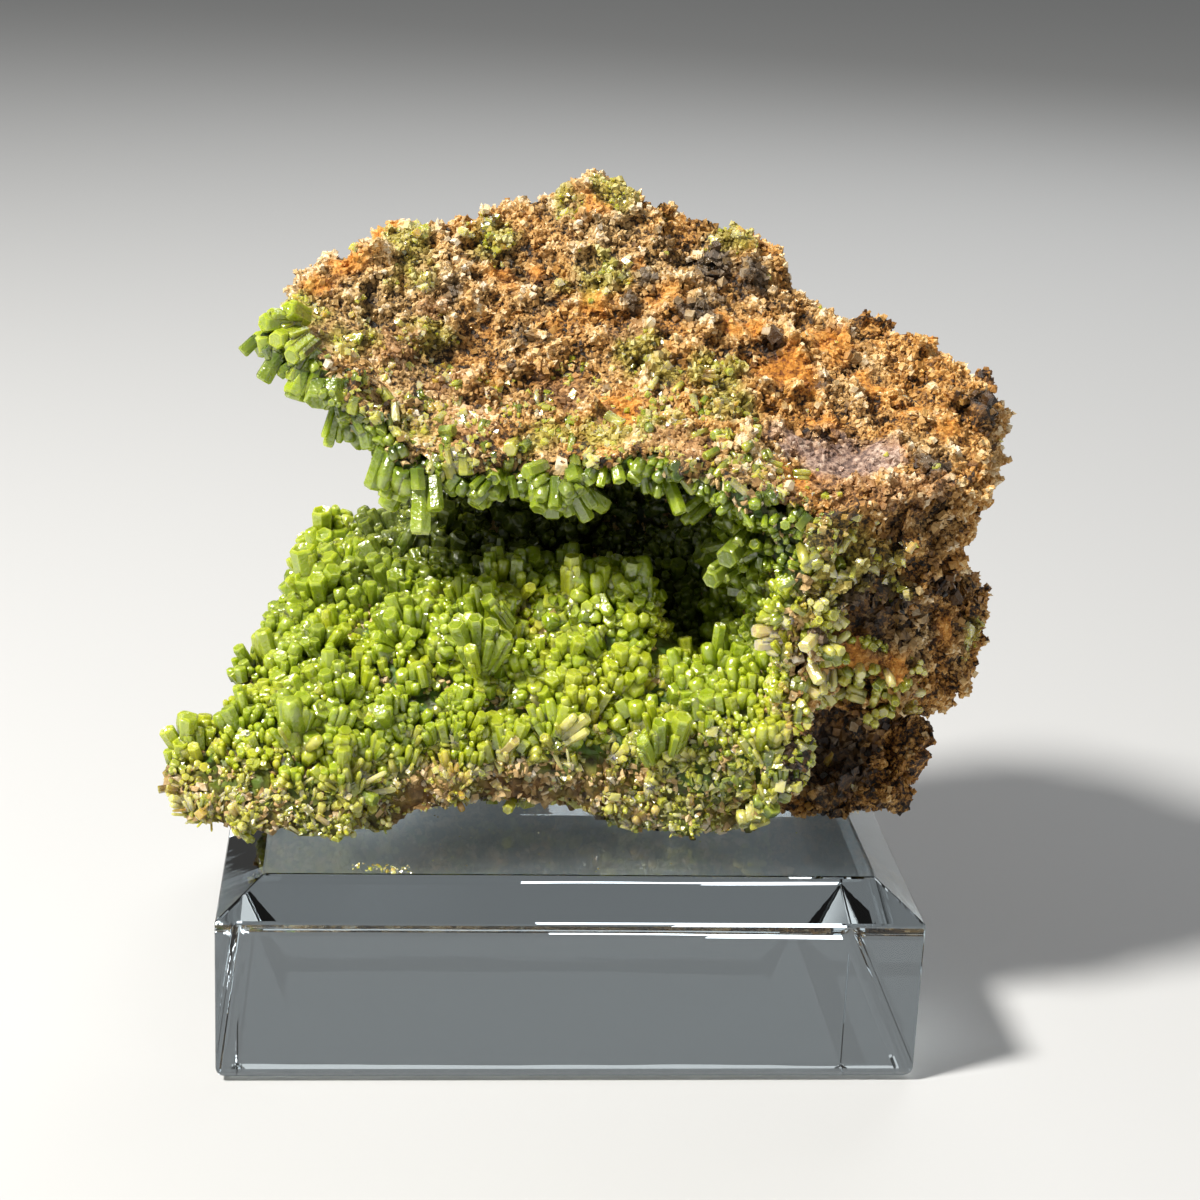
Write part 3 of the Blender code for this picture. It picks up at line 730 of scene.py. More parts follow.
# %% Grow the grains
out = outward(rock)
keep(rock, "aim", out + cloud_vector(skin, 2.0) * 0.5)
chunky = near(wobble, ROCK_PATCHES["goethite"], 0.45)
flat = near(wobble, ROCK_PATCHES["ochre"] + ROCK_PATCHES["lilac"], 0.3)
keep(rock, "size", 0.72 + 0.6 * np.clip(1.3 * cloud(skin, 5.0, 9.0) + 0.4, 0, 1) + 0.6 * chunky - 0.2 * flat)
keep(rock, "reach", np.ones(len(skin)))
keep(rock, "cover", (1 - 0.6 * flat) * (1 - 0.3 * chunky))
middles = np.array([skin[list(p.vertices)].mean(0) for p in rock.data.polygons])
facing = np.array([p.normal for p in rock.data.polygons])
is_open = is_bare(middles, facing, lining_tree)
top = is_open & (facing[:, 2] > 0.45)
front = is_open & ~top & (facing[:, 1] < 0.1)
back = is_open & ~top & ~front
grain_finish = limonite("crumbled limonite", 0.5, loose=True)
rock_grains = []
for side, chosen, spacing in [("top", top, 0.76), ("front", front, 0.78), ("back", back, 1.42)]:
    patch = keep_faces(rock, side + "_skin", chosen)
    rock_grains.append(grow("grains_" + side, patch, chips, grain_finish, spacing, (0.4, 1.15), (0.35, 1.2),
                            0.7, 0.0, 31))

# %% Mark where olive grains lie on the rock
olive_skin = keep_faces(rock, "olive_skin", is_open)
olive = kept(olive_skin, "olive")
skin = places(olive_skin)
to_lining = distance(lining_tree, skin)
border = np.clip((6.5 - to_lining + 4.0 * cloud(skin, 4.0, 6.0)) / 6.0, 0, 1) * (skin[:, 1] < 6)
patchy = np.clip(0.5 + 1.6 * cloud(skin, 2.4, 8.0), 0, 1)
keep(olive_skin, "cover", np.clip(np.maximum(olive * patchy, border * np.clip(patchy + 0.2, 0, 1)), 0.004, 1))
keep(olive_skin, "hue", 0.78 - 0.12 * border + 0.16 * cloud(skin, 5.0, 1.0))

# %% Mark the rim where crystals spread onto the rock
RIM_LEDGES = [(33, -26, 54, 7), (39, -23, 53, 7.6), (45, -20, 51, 6.6), (31, -27, 61, 5), (33, -28, 68, 4),
              (36, -27, 57, 5)]
FLOOR_BELOW, ROOF_ABOVE = 70, 72
rim_skin = keep_faces(rock, "rim_skin", is_open)
skin, out = places(rim_skin), outward(rim_skin)
x, y, z = skin.T
to_lining = distance(lining_tree, skin)
on_front = z > 73
reach = np.where(on_front, np.where(x < -16, 9.0, 7.0), 5.0)
rim = np.clip((reach - to_lining + 4.0 * cloud(skin, 4.0, 6.0)) / 3.0, 0, 1) * (y < 2)
rim *= (out[:, 2] < 0.5) | (z < 60)
ledges = near(wandering(skin, 3.0, 2), RIM_LEDGES, 0.6) * (out[:, 1] < 0.3)
keep(rim_skin, "cover", np.clip(np.maximum((0.8 + 0.2 * on_front) * rim, 0.95 * ledges), 0.0005, 1))
away_from_lining = np.minimum(to_lining, 8) * (1 - ledges)
keep(rim_skin, "size", 1.1 + 0.25 * on_front - (0.05 + 0.04 * on_front) * away_from_lining)
hue = 0.46 - 0.05 * on_front + 0.045 * away_from_lining + 0.22 * ledges
keep(rim_skin, "hue", hue + 0.12 * cloud(skin, 4.0, 1.0))
aim = 0.7 * out + cloud_vector(skin, 3.0) * 0.4
aim[:, 2] += np.where(z > ROOF_ABOVE, -0.7, 0.35)
keep(rim_skin, "aim", aim)

# %% [markdown]
# ## The vug and the crust under its crystals
#
# The vug is a smooth hollow between an upper and a lower slab, closed at the back and on the right.
# It is lofted through slices along x, as the CAD was, and the table holds the tips of the crystals.
# The crust that they stand on is the CAD lining with the vug, grown by the crystals' height, cut
# out of it. What is left follows the rock exactly, so nothing shows through between the crystals.

# %% The vug's slices, to the tips of the crystals
# Each row is one x. Its points run from in front of the mouth, under the lip, over the floor, up
# the back wall and along the roof.
VUG = [
    (-72.0, [(-60, 16), (-24, 24), (-22, 30), (-16, 36), (-8, 38), (0, 40), (20, 42),
             (60, 46), (60, 112), (30, 120), (5, 120), (-15, 120), (-60, 120)]),
    (-58.0, [(-60, 18), (-20, 27), (-21, 35), (-17, 39), (-13, 40.5), (-8, 42), (10, 46),
             (60, 52), (60, 110), (30, 117), (5, 117), (-15, 115), (-60, 114)]),
    (-50.0, [(-60, 18), (-21, 26), (-22.5, 33), (-18, 41), (-10, 46), (-3, 49), (12, 54),
             (60, 58), (60, 107), (30, 111), (5, 107), (-12, 104), (-60, 104)]),
    (-46.0, [(-60, 18), (-22, 26), (-24, 34), (-18, 43), (-10, 48.5), (0, 51.5), (16, 57),
             (60, 60), (60, 100), (30, 102), (10, 98), (-2, 95), (-60, 94)]),
    (-40.0, [(-60, 18), (-22, 26), (-24, 34.5), (-18, 45), (-8, 51), (4, 54), (20, 58),
             (60, 62), (60, 92), (28, 94), (12, 94), (-4, 91.5), (-60, 86)]),
    (-33.0, [(-60, 18), (-21, 26), (-23, 35), (-16, 47), (-7, 54), (6, 58), (22, 61.5),
             (60, 64), (60, 84), (28, 87), (12, 90), (-5, 86.5), (-60, 80)]),
    (-24.0, [(-60, 18), (-19, 27), (-21, 37), (-14, 51), (-5, 59), (8, 61), (22, 62),
             (31, 65), (32, 72), (24, 80), (10, 84), (-7, 78.5), (-60, 74)]),
    (-10.0, [(-60, 18), (-17, 29), (-20, 40), (-13, 54), (-5, 63.5), (5, 64), (15, 60),
             (25, 61), (27, 72), (18, 82), (8, 83), (-9, 77.5), (-60, 74)]),
    (0.0, [(-60, 18), (-17, 29), (-21, 40), (-14, 54), (-6, 66), (4, 65), (12, 59),
           (23, 58), (26, 71), (18, 82), (6, 84), (-12, 78.5), (-60, 74)]),
    (9.0, [(-60, 18), (-18.5, 27), (-22, 38), (-16, 51), (-7, 66), (3, 64), (9, 57),
           (20, 55), (24, 70), (16, 82), (2, 85), (-16, 81), (-60, 78)]),
    (16.0, [(-60, 18), (-20.5, 26), (-24, 38), (-19, 49), (-11, 58), (0, 56), (8, 52),
            (16, 54), (19, 69), (12, 80), (0, 84), (-19, 80), (-60, 77)]),
    (20.5, [(-60, 18), (-20, 28), (-25, 41), (-23, 50), (-15, 54), (-5, 53), (3, 53),
            (10, 57), (12, 68), (6, 76), (-4, 80), (-23, 78), (-60, 77)]),
    (25.5, [(-60, 20), (-19, 31), (-26, 44), (-24, 51.5), (-18, 55), (-11, 56), (-6, 58),
            (-3, 61), (-3, 67), (-7, 72), (-13, 75), (-26, 76.5), (-60, 77)]),
    (29.0, [(-60, 40), (-29, 48), (-29, 50), (-29, 52), (-29, 55), (-29, 58), (-29, 60),
            (-29, 62), (-29, 66), (-29, 70), (-29, 73), (-29, 76), (-60, 77)]),
]
CRYSTAL_DEPTH = 3.0
BUNCH, TUFT = 7.0, 3.2

# %% Loft helpers
def monotone(rows, samples, closed):
    """Smooth curve through the rows with no overshoot, sampled evenly per span."""
    rows = np.asarray(rows, float)
    if closed:
        rows = np.concatenate([rows[-1:], rows, rows[:2]])
    step = np.diff(rows, axis=0)
    product, total = step[:-1] * step[1:], step[:-1] + step[1:]
    inner = np.where(product > 0, 2 * product / np.where(total == 0, 1, total), 0.0)
    points, slopes = rows[1:-1], inner
    if not closed:
        points, slopes = rows, np.concatenate([step[:1], inner, step[-1:]])
    curve = []
    for i in range(len(points) - 1):
        for k in range(samples):
            t = k / samples
            curve.append((2 * t ** 3 - 3 * t ** 2 + 1) * points[i] + (t ** 3 - 2 * t ** 2 + t) * slopes[i]
                         + (3 * t ** 2 - 2 * t ** 3) * points[i + 1] + (t ** 3 - t ** 2) * slopes[i + 1])
    return np.array(curve if closed else curve + [points[-1]])


def grown(slices, amount):
    """The same slices pushed outwards in their own plane by one distance."""
    result = []
    for x, ring in slices:
        points = np.asarray(ring, float)
        span = np.roll(points, -1, axis=0) - np.roll(points, 1, axis=0)
        normal = np.column_stack([span[:, 1], -span[:, 0]])
        normal /= np.linalg.norm(normal, axis=1)[:, None]
        result.append((x, points + normal * amount))
    return result


def loft(name, slices, along, around):
    """Closed skin through the slices."""
    rings = []
    for x, ring in slices:
        curve = monotone(ring, around, True)
        rings.append(np.column_stack([np.full(len(curve), x), curve]))
    grid = monotone(np.array(rings).reshape(len(slices), -1), along, False).reshape(-1, len(rings[0]), 3)
    bm = bmesh.new()
    loops = [[bm.verts.new(Vector(p) * MM) for p in ring] for ring in grid]
    count = len(loops[0])
    for low, high in zip(loops, loops[1:]):
        for i in range(count):
            bm.faces.new((low[i], low[(i + 1) % count], high[(i + 1) % count], high[i]))
    bm.faces.new(loops[0][::-1])
    bm.faces.new(loops[-1])
    bmesh.ops.triangulate(bm, faces=bm.faces)
    bmesh.ops.recalc_face_normals(bm, faces=bm.faces)
    return finished(bm, name)


# %% The crust
crust = merged_copy(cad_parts["crystal_lining"], "pyromorphite_crust")
vug = loft("vug", grown(VUG, CRYSTAL_DEPTH), 3, 3)
step = crust.modifiers.new("open the vug", "BOOLEAN")
step.operation, step.solver, step.object = "DIFFERENCE", "MANIFOLD", vug
even_skin(crust, 0.9)
roughen(crust, "CLOUDS", 9.0, 3.6, noise_depth=1)
roughen(crust, "CLOUDS", 4.0, 1.8, noise_depth=1)
roughen(crust, "VORONOI", 2.4, -0.9)
roughen(crust, "CLOUDS", 1.6, 1.2, noise_depth=1, noise_type="HARD_NOISE")
apply_modifiers(crust)
bpy.data.objects.remove(vug)
skin = places(crust)
skin += outward(crust) * ((bunches(skin, BUNCH, 0.3)[1] - 0.35) * 2.8)[:, None]
skin = hold_back(skin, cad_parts["crystal_lining"], rock_tree)
skin[:, 2] = np.maximum(skin[:, 2], BLOCK_TOP + 0.05)
put_places(crust, skin)
print("crust", triangles(crust), "triangles")

# %% [markdown]
# ### Where the crust is bare, and what grows where
#
# Every face of the crust either touches the rock or looks into the open. A ray from each face tells
# which. The open ones are sorted by the way they face and where they are: the floor with its
# upright lime crystals, the lip with small yellow ones, the roof and its hanging fringe, and the
# walls, dark partly from painted shade deep in the vug. Crystals grow in bunches that spread from a
# middle, where they are longest, so aim points away from it, and also up on the floor and down on
# the roof.

# %% Sort the crust's faces
middle = np.array([p.center for p in crust.data.polygons]) / MM
facing = np.array([p.normal for p in crust.data.polygons])
x, y, z = middle.T
bare = is_bare(middle, facing, rock_tree)
low = z < FLOOR_BELOW
lip_line = 37 + 0.12 * (x + 40) * (x > -40) + 3 * cloud(middle, 6.0, 3.0)
is_lip = bare & low & (y < -12) & ((z < lip_line) | (facing[:, 2] < -0.1))
is_floor = bare & low & ~is_lip & (facing[:, 2] > 0.05)
is_roof = bare & ~is_floor & ~is_lip & (z > ROOF_ABOVE)
is_wall = bare & ~is_floor & ~is_lip & ~is_roof
for part, faces in [("floor", is_floor), ("lip", is_lip), ("roof", is_roof), ("wall", is_wall)]:
    print(part, faces.sum(), "faces")

# %% Aim, size and hue over the crust
BIG_CRYSTALS = [(-38, 18, 58, 13), (-28, 24, 62, 11), (-38, -6, 92, 8), (-30, -6, 86, 8),
                (-24, -8, 80, 8), (2, -6, 66, 6), (-16, -9, 79, 7), (-6, -10, 79, 6)]
SMALL_CRYSTALS = [(-33, 0, 55, 4), (-50, -18, 33, 7), (-40, -22, 32, 8), (-20, -20, 33, 9),
                  (0, -20, 34, 9), (16, -24, 33, 8), (24, -25, 50, 7), (27, -26, 62, 11),
                  (26, -26, 74, 10), (28, -20, 68, 9)]
BARE_LIP = [(-20, -19, 36.5, 3.4), (-8, -18, 37, 4), (-3, -18.5, 38.5, 4), (3, -19.3, 39, 4),
            (9, -20, 38.5, 3)]
points, out = places(crust), outward(crust)
x, y, z = points.T
to_rock = distance(rock_tree, points)
edge = np.clip(1 - (to_rock - 0.5) / 2.2, 0, 1)
edge[(z > ROOF_ABOVE) & (y < 0)] *= 0.45
away, inner = bunches(points, BUNCH, 0.3)
tuft_away, tuft = bunches(points, TUFT, 0.7)
on_floor = slide(z, FLOOR_BELOW, FLOOR_BELOW - 20)
on_roof = slide(z, ROOF_ABOVE, ROOF_ABOVE + 8)
on_lip = slide(z, 40, 36) * (y < -12)
aim = out * (0.4 - 0.05 * on_roof)[:, None] + cloud_vector(points, 5.0) * 0.25
aim += away * 0.9 + tuft_away * 0.25
aim[:, 2] += (0.5 + 0.9 * slide(z, 34, 42)) * on_floor * (y > -26)
aim[:, 2] -= 0.85 * on_roof
aim[:, 1] -= 0.2 * on_roof * (y < 0)
aim[:, 0] -= 0.2 * on_roof * slide(x, -34, -44)
aim /= np.linalg.norm(aim, axis=1)[:, None]
keep(crust, "aim", aim)
size = 1.0 + 0.4 * near(points, BIG_CRYSTALS, 0.8) - 0.35 * near(points, SMALL_CRYSTALS, 0.8) - 0.3 * edge
keep(crust, "size", size * (1 + 0.55 * cloud(points, 4.5, 2.0)))
keep(crust, "reach", (0.66 + 1.0 * inner) * (1 - 0.35 * edge))
cover = np.clip(1 - 0.8 * edge * (0.5 + 1.5 * cloud(points, 3.5, 5.0)), 0.1, 1)
cover *= 1 - 0.6 * on_roof * slide(y, 4, 12)
bare_lip = near(wandering(points, 3.0, 2), BARE_LIP, 0.6)
keep(crust, "cover", cover * (1 - on_lip * np.clip(0.55 - 2.2 * tuft, 0, 0.55)) * (1 - 0.8 * bare_lip))
keep(crust, "brown", np.maximum(0.9 * bare_lip, on_lip * np.clip(0.6 - 1.6 * tuft, 0, 0.6)))
BROWNED = [(-20, -19, 33, 6), (-8, -19, 34, 7), (4, -19, 35, 5), (-33, 0, 55, 4)]
hue = 0.47 + 0.12 * inner + 0.10 * cloud(points, 7.0, 4.0) + 0.06 * cloud(points, 2.5, 7.0)
# Paler towards the lip: its own straw colour, partly painted light on its front.
hue += 0.18 * slide(z, 42, 33) * (y < -8)
# Painted shade deep in the vug: the hue falls towards the back and again at the far back, so crystals there
# are darker, partly their own darker green.
hue -= 0.34 * slide(y, 2, 17) * (x > -32)
hue -= 0.1 * slide(y, 14, 28) * (x > -30)
hue += 0.26 * near(points, BROWNED, 0.8)
# Painted shade under the roof, partly the duller olive of the roof crystals.
hue -= 0.14 * on_roof
# Painted light: the crystals on the mound, where the light falls, are painted a little paler.
hue += 0.06 * near(points, [(2, -12, 60, 20)], 1.0)
# Painted shade: darker in the shaded hollow of the vug's right side.
hue -= 0.1 * near(points, [(26, -12, 64, 12), (22, 0, 70, 12)], 0.8)
hue += 0.22 * near(points, [(27, -27, 64, 7), (25, -27, 52, 8)], 0.8)
hue += 0.22 * edge * (y < -2)
keep(crust, "hue", np.clip(hue, 0.1, 1))

# %% [markdown]
# ### Pyromorphite, the finish
#
# Pyromorphite is a lead mineral, so it bends light strongly, with an index near 2.05, and shines
# like resin. Light gets a millimetre or two into it, which makes the tips glow and the deep gaps
# look bottle green. Hue runs along one colour row, from a dark cavity green over lime to straw, and
# each crystal shifts it a little. Its colour rises from a painted shade at the foot, where crystals
# crowd, to a paler tip, which is painted glow, and the rim of its end is paler still, a painted
# highlight partly over its own glassy edge.

# %% Crystal material
def pyromorphite(name, colours, tip_light, spread):
    """Hue runs along the row of colours. tip_light: how far tips are painted paler, a painted glow. spread:
    how much crystals differ.
    """
    material, tree, shader, place = new_material(name)
    along, hue, tone = [output(add(tree, "ShaderNodeAttribute", {}, attribute_name=key), "Fac")
                        for key in ("along", "hue", "tone")]
    own = add(tree, "ShaderNodeMapRange", {"Value": tone, "To Min": -spread, "To Max": spread})
    hue = add(tree, "ShaderNodeMath", {0: hue, 1: own}, operation="ADD")
    body = add(tree, "ShaderNodeValToRGB", {0: hue}, stops=colours)
    mist = add(tree, "ShaderNodeTexNoise", {"Vector": place, "Scale": 1 / (2.0 * MM), "Detail": 2.0})
    cloudy = add(tree, "ShaderNodeMapRange", {"Value": mist, "From Min": 0.4, "From Max": 0.75,
                                              "To Max": 0.18})
    # Painted glow: paler towards the tip.
    painted_tip_glow = add(tree, "ShaderNodeMapRange", {"Value": along, "From Min": 0.25, "To Max": tip_light})
    # Painted highlight on the rim of the end, partly its own glassy edge.
    painted_rim_highlight = add(tree, "ShaderNodeMapRange", {"Value": along, "From Min": 0.88, "To Max": 0.14})
    lift = add(tree, "ShaderNodeMath", {0: painted_tip_glow, 1: painted_rim_highlight}, operation="ADD")
    lift = add(tree, "ShaderNodeMath", {0: lift, 1: cloudy}, operation="ADD")
    # The pale lime that the painted glow, the painted rim highlight and the cloudy patches lift the colour
    # towards.
    colour = add(tree, "ShaderNodeMix", {"Factor": lift, 6: body, 7: linear("#ccd860")}, data_type="RGBA")
    # Painted shade at the foot, where crystals crowd: mixed towards a dark green.
    painted_foot_shade = add(tree, "ShaderNodeMapRange", {"Value": along, "From Max": 0.6, "To Min": 0.55, "To Max": 0.0})
    colour = add(tree, "ShaderNodeMix", {"Factor": painted_foot_shade, 6: colour, 7: linear("#2c4a12")}, data_type="RGBA")
    rough = add(tree, "ShaderNodeMapRange", {"Value": mist, "From Min": 0.35, "From Max": 0.65,
                                             "To Min": 0.12, "To Max": 0.34})
    grain = add(tree, "ShaderNodeTexNoise", {"Vector": place, "Scale": 1 / (0.6 * MM), "Detail": 2.0})
    bump = add(tree, "ShaderNodeBump", {"Height": grain, "Strength": 0.6, "Distance": 0.3 * MM})
    wire(shader, {"Base Color": colour, "Roughness": rough, "Normal": bump, "IOR": 2.05,
                  "Subsurface Weight": 0.9, "Subsurface Radius": (1.0, 1.0, 0.12),
                  "Subsurface Scale": 1.8 * MM})
    return material


FRESH = [(0.0, "#1a2a08"), (0.2, "#3c520c"), (0.4, "#6c8112"), (0.55, "#93a80f"), (0.72, "#b0b621"),
         (0.84, "#c9b548"), (0.92, "#cf9f62"), (1.0, "#f0efdf")]
WEATHERED = [(0.3, "#3e4c14"), (0.45, "#748426"), (0.6, "#a39f3c"), (0.74, "#c9be66"), (0.85, "#eadfae"),
             (0.94, "#c08c50"), (1.0, "#6a4426")]
lime = pyromorphite("lime pyromorphite", FRESH, 0.16, 0.08)
straw = pyromorphite("weathered straw pyromorphite", WEATHERED, 0.25, 0.24)

# %% Crust material
def crust_finish():
    material, tree, shader, place = new_material("massive pyromorphite crust")
    hue = output(add(tree, "ShaderNodeAttribute", {}, attribute_name="hue"), "Fac")
    # The hue carries the painted shade deep in the vug and under the roof, so the crust's colour darkens
    # there too.
    body = add(tree, "ShaderNodeValToRGB", {0: hue}, stops=[
        (0.0, "#16240c"), (0.4, "#2f4c12"), (0.6, "#4c6a18"), (0.85, "#8a7a34"), (1.0, "#8f6a3c")])
    crumbs = add(tree, "ShaderNodeTexNoise", {"Vector": place, "Scale": 1 / (1.4 * MM), "Detail": 3.0})
    dirt = add(tree, "ShaderNodeMapRange", {"Value": crumbs, "From Min": 0.4, "From Max": 0.7})
    colour = add(tree, "ShaderNodeMix", {"Factor": dirt, 6: body, 7: linear("#33260f")}, data_type="RGBA")
    bump = add(tree, "ShaderNodeBump", {"Height": crumbs, "Strength": 0.8, "Distance": 0.5 * MM})
    wire(shader, {"Base Color": colour, "Roughness": 0.5, "Normal": bump})
    return material


crust.data.materials.clear()
crust.data.materials.append(crust_finish())

# %% Grow the crystals
crystal_pieces = []
for name, chosen, stock, finish, spacing, width, length, scatter, seed in [
        ("floor_crystals", is_floor, crystals, lime, 1.6, (1.7, 3.2), (2.9, 5.4), 0.26, 3),
        ("floor_between", is_floor, minis, lime, 1.35, (0.9, 1.6), (2.4, 3.8), 0.3, 4),
        ("roof_crystals", is_roof, crystals, lime, 1.65, (1.3, 2.9), (1.7, 4.6), 0.55, 5),
        ("wall_crystals", is_wall, crystals, lime, 1.9, (1.8, 2.9), (2.2, 4.0), 0.35, 7),
        ("lip_crystals", is_lip, crystals, straw, 1.9, (1.3, 2.7), (2.0, 4.2), 0.6, 10),
        ("lip_splinters", is_lip, minis, straw, 0.92, (0.5, 1.0), (1.8, 3.8), 0.7, 14),
        ("lip_crumbs", is_lip, chips, straw, 0.6, (0.9, 2.4), (1.0, 2.8), 0.9, 15)]:
    patch = keep_faces(crust, name + "_skin", chosen)
    crystal_pieces.append(grow(name, patch, stock, finish, spacing, width, length, scatter, -0.5, seed))

# %% Crystals and grains that hide the border between rock and lining
crystal_pieces.append(grow("rim_crystals", rim_skin, crystals, straw, 1.9, (0.9, 2.1), (1.4, 3.2), 0.5,
                           -0.4, 17))
seam_skin = keep_faces(crust, "seam_skin", bare)
skin = places(seam_skin)
to_rock = distance(rock_tree, skin)
crumbly = np.clip(1.1 - to_rock / 2.6 + 0.9 * cloud(skin, 3.0, 4.0), 0.0005, 1)
keep(seam_skin, "cover", np.maximum(crumbly * (skin[:, 2] > 36), kept(seam_skin, "brown")))
keep(seam_skin, "size", 1 + 0.8 * np.clip(1.5 - to_rock, 0, 1))
rock_grains.append(grow("grains_seam", seam_skin, chips, grain_finish, 0.66, (0.5, 1.4), (0.5, 1.6), 0.8,
                        0.3, 19))

# %% Small olive grains on the rock
rock_grains.append(grow("olive_grains", olive_skin, chips, straw, 0.8, (0.6, 1.4), (0.7, 1.7), 0.8, -0.1, 13))

# %% [markdown]
# ### Crystals worth placing one by one
#
# A few crystals catch the eye because they are larger and stand clear: the cluster at the left tip,
# some that hang from the roof, two that top the mound, the first painted a little paler as a
# painted highlight, two fans on the front slope, and two dark ones and a pale pair on the right
# wall, the pair painted near white, partly their own pale colour and partly a painted highlight.
# Each row gives the middle of the crystal's free end, the way it points, its width and length in
# millimetres, and its hue.

# %% Plant the large crystals
LARGE_CRYSTALS = [
    ((-46.4, -1.5, 97.6), (-0.92, -0.3, -0.2), 3.7, 7.0, 0.5),
    ((-40.8, -4.8, 91.0), (-0.45, -0.4, -0.8), 3.7, 7.5, 0.5),
    ((-45.4, -2.5, 101.2), (-0.8, -0.5, 0.1), 3.0, 6.0, 0.6),
    ((-43.5, -4.0, 99.0), (-0.6, -0.75, -0.1), 3.0, 5.5, 0.62),
    ((-41.2, -5.5, 97.0), (-0.5, -0.8, -0.3), 2.8, 5.5, 0.58),
    ((-42.0, -1.5, 103.0), (-0.5, -0.6, 0.4), 2.8, 5.0, 0.6),
    ((-25.6, -9.0, 77.0), (-0.3, -0.2, -0.95), 3.6, 9.0, 0.48),
    ((-27.6, -9.5, 77.5), (-0.4, -0.3, -0.9), 2.6, 7.0, 0.52),
    ((-14.5, -9.5, 76.5), (-0.45, -0.4, -0.8), 3.0, 7.0, 0.45),
    ((-12.5, -10.5, 78.0), (-0.2, -0.5, -0.8), 2.6, 6.0, 0.5),
    # Painted highlight: this one is painted a little paler.
    ((0.2, -6.5, 68.4), (-0.05, -0.1, 1.0), 2.8, 8.0, 0.64),
    ((9.3, -6.5, 67.8), (0.12, -0.15, 1.0), 3.3, 8.0, 0.42),
    ((-12.5, -11.0, 63.0), (-0.55, -0.3, 0.8), 2.6, 6.0, 0.5),
    ((-17.0, -15.0, 60.4), (-0.35, -0.35, 0.85), 2.8, 8.0, 0.5),
    ((-14.2, -15.0, 61.4), (-0.1, -0.35, 0.95), 2.6, 8.5, 0.52),
    ((-11.8, -15.5, 60.9), (0.12, -0.4, 0.9), 2.6, 8.0, 0.5),
    ((-9.6, -15.5, 59.0), (0.35, -0.4, 0.85), 2.4, 7.0, 0.53),
    ((-15.0, -17.5, 57.5), (-0.2, -0.55, 0.75), 2.2, 6.0, 0.56),
    # Painted near white: partly their own pale colour, partly a painted highlight.
    ((25.0, -24.5, 63.2), (-0.95, -0.3, 0.1), 2.2, 6.5, 1.0),
    ((25.4, -24.8, 61.2), (-0.97, -0.25, 0.0), 2.0, 6.5, 1.0),
    ((21.0, -20.0, 72.5), (-0.5, -0.75, -0.3), 3.6, 6.0, 0.32),
    ((19.0, -19.5, 69.0), (-0.6, -0.7, -0.2), 2.8, 5.0, 0.28),
    ((12.5, -22.5, 48.5), (-0.1, -0.4, 0.9), 2.4, 7.0, 0.52),
    ((15.8, -23.0, 49.5), (0.1, -0.4, 0.9), 2.8, 7.0, 0.54),
    ((10.0, -23.0, 46.0), (-0.35, -0.5, 0.8), 2.2, 6.0, 0.58),
]
# As in the stock shapes, the third number of each ring is how pale the crystal is painted: painted shade at
# the foot, painted highlight on the end's rim.
STURDY = [(0.0, 0.36, 0.0), (0.5, 0.46, 0.5), (0.92, 0.5, 0.9), (1.0, 0.43, 1.0), (0.98, 0.3, 0.7)]
SLIM = [(0.0, 0.22, 0.0), (0.92, 0.28, 0.9), (1.0, 0.21, 1.0)]


def plant(name, rows, finish, seed):
    """Joins crystals given by free end, direction, width, length and hue into one mesh."""
    dice = random.Random(seed)
    bm = bmesh.new()
    along = bm.verts.layers.float.new("along")
    hue = bm.verts.layers.float.new("hue")
    tone = bm.verts.layers.float.new("tone")
    for tip, way, width, length, colour in rows:
        start = len(bm.verts)
        add_column(bm, along, STURDY, dice=dice)
        for k in range(3):
            angle = dice.uniform(0, 6)
            centre = (0.42 * math.cos(angle), 0.42 * math.sin(angle))
            add_column(bm, along, SLIM, centre=centre, height=dice.uniform(0.55, 0.93), dice=dice)
        way = Vector(way).normalized()
        turn = way.to_track_quat("Z", "Y").to_matrix().to_4x4() @ Matrix.Rotation(dice.uniform(0, 6), 4, "Z")
        place = (Matrix.Translation((Vector(tip) - way * length) * MM) @ turn
                 @ Matrix.Diagonal((width * MM, width * MM, length * MM, 1)))
        own = dice.random()
        bm.verts.ensure_lookup_table()
        for point in bm.verts[start:]:
            point.co = place @ point.co
            # Their painted shade at the foot is kept light: the paleness starts at 0.4.
            point[hue], point[tone], point[along] = colour, own, 0.4 + 0.6 * point[along]
    item = finished(bm, name)
    item.data.materials.append(finish)
    print(name, triangles(item), "triangles")
    return item


crystal_pieces.append(plant("large_crystals", LARGE_CRYSTALS, lime, 5))

# %% [markdown]
# ### Crumbs and dust
#
# A specimen this crumbly sheds. A small heap of straw crumbs lies at the front edge of the block's
# top and fine dust is strewn over the rest. They grow on a flat helper sheet with the same tree, so
# that a number per point says how thickly they lie.

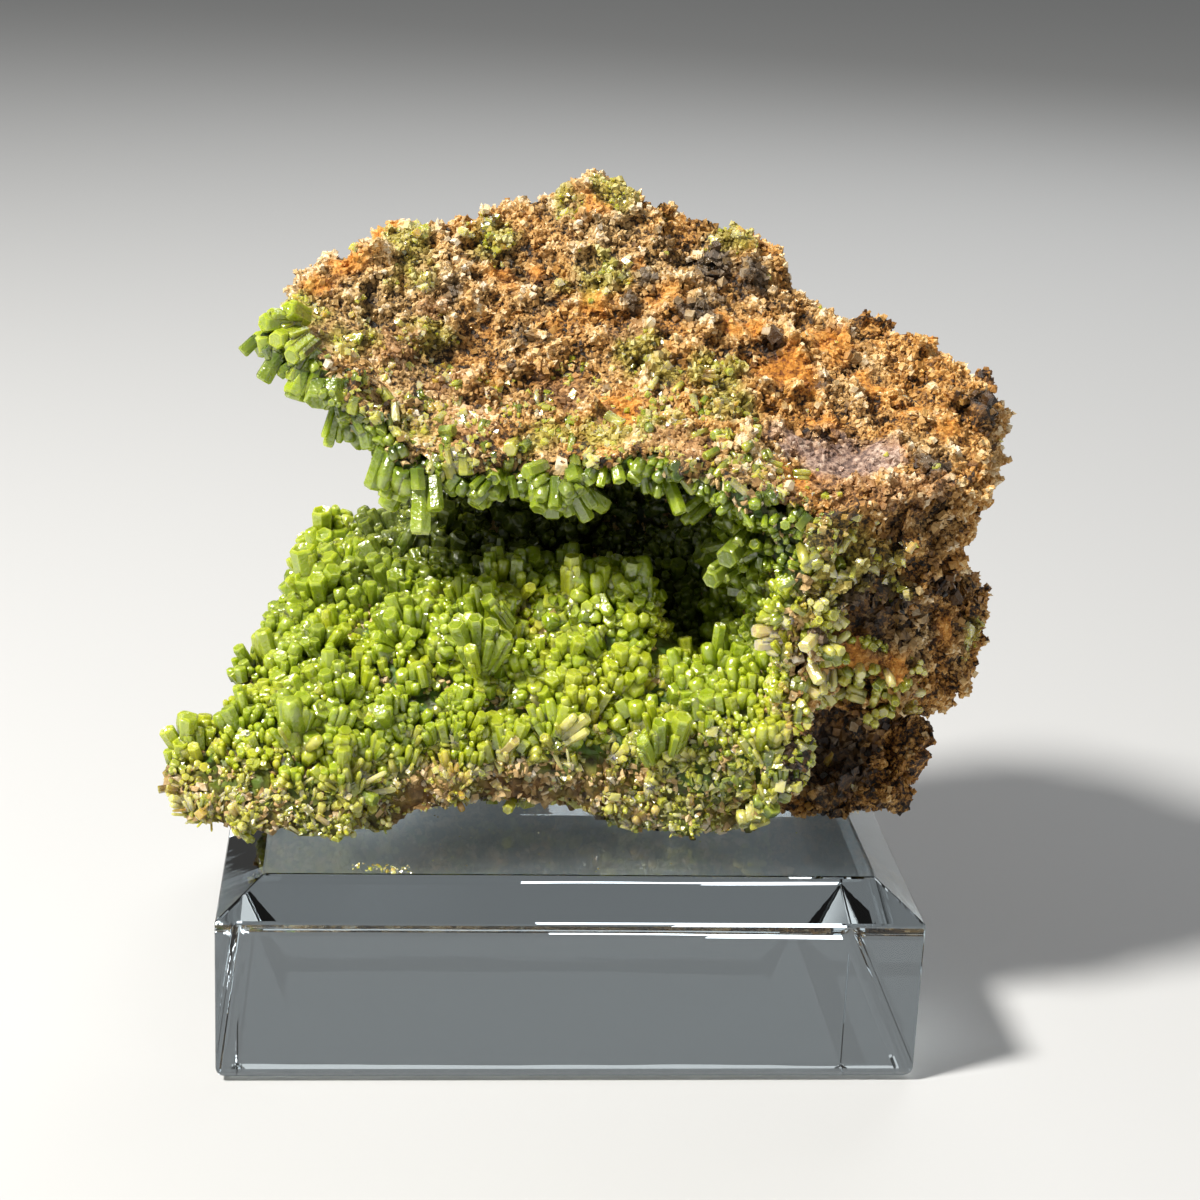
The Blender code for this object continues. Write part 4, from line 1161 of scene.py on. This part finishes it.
# %% Crumbs and dust on the block
sheet_x, sheet_y = np.linspace(-42, 40, 83), np.linspace(-33, 20, 54)
sheet_points = [Vector((x, y, BLOCK_TOP)) * MM for y in sheet_y for x in sheet_x]
wide = len(sheet_x)
sheet_faces = [(i, i + 1, i + wide + 1, i + wide) for i in range(len(sheet_points) - wide) if (i + 1) % wide]
sheet = plain_mesh("dust_sheet", sheet_points, sheet_faces)
spots = places(sheet)
HEAPS = [(-27, -32, BLOCK_TOP, 2.2), (-30, -31, BLOCK_TOP, 1.4), (-24.5, -32.5, BLOCK_TOP, 1.5)]
heap = near(spots, HEAPS, 0.8)
keep(sheet, "cover", 0.012 + 0.03 * np.clip(cloud(spots, 9.0, 2.0), 0, 1) + heap)
keep(sheet, "size", 0.6 + 0.9 * heap)
keep(sheet, "reach", np.ones(len(spots)))
keep(sheet, "aim", np.tile((0.0, 0.0, 1.0), (len(spots), 1)))
keep(sheet, "hue", np.full(len(spots), 0.8))
dust = grow("crumbs_on_block", sheet, chips, straw, 0.5, (0.2, 0.6), (0.2, 0.5), 0.8, 0.08, 23)

# %% [markdown]
# ## The clear block
#
# The stand is cast acrylic, sawn, milled to a wide bevel and polished, so it is glassy, with a
# very slight blue-grey depth. The CAD body has its true shape and small arrises, so it stays and
# only gets its finish: full transmission, the index of acrylic, a little absorption in its depth
# and very faint wipe marks along its faces.

# %% Acrylic material
def cast_acrylic():
    material, tree, shader, place = new_material("polished cast acrylic")
    drawn = add(tree, "ShaderNodeMapping", {"Vector": place, "Rotation": (0.0, 0.5, 0.0),
                                            "Scale": (0.12, 1.0, 1.0)})
    wipes = add(tree, "ShaderNodeTexNoise", {"Vector": drawn, "Scale": 1 / (5 * MM), "Detail": 2.0})
    bump = add(tree, "ShaderNodeBump", {"Height": wipes, "Strength": 0.04, "Distance": 0.2 * MM})
    wire(shader, {"Base Color": linear("#f4fafc"), "Transmission Weight": 1.0, "IOR": 1.49,
                  "Roughness": 0.0, "Normal": bump})
    depth = add(tree, "ShaderNodeVolumeAbsorption", {"Color": linear("#bccfdc"), "Density": 6.0})
    wire(tree.nodes["Material Output"], {"Volume": depth})
    return material


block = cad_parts["acrylic_block"]
block.data.materials.clear()
block.data.materials.append(cast_acrylic())

# %% Hang every piece on the frame
for piece in [rock, *rock_grains, dust]:
    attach(piece, "root")
    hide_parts("matrix")
for piece in [crust, *crystal_pieces]:
    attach(piece, "root")
    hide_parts("crystal_lining")
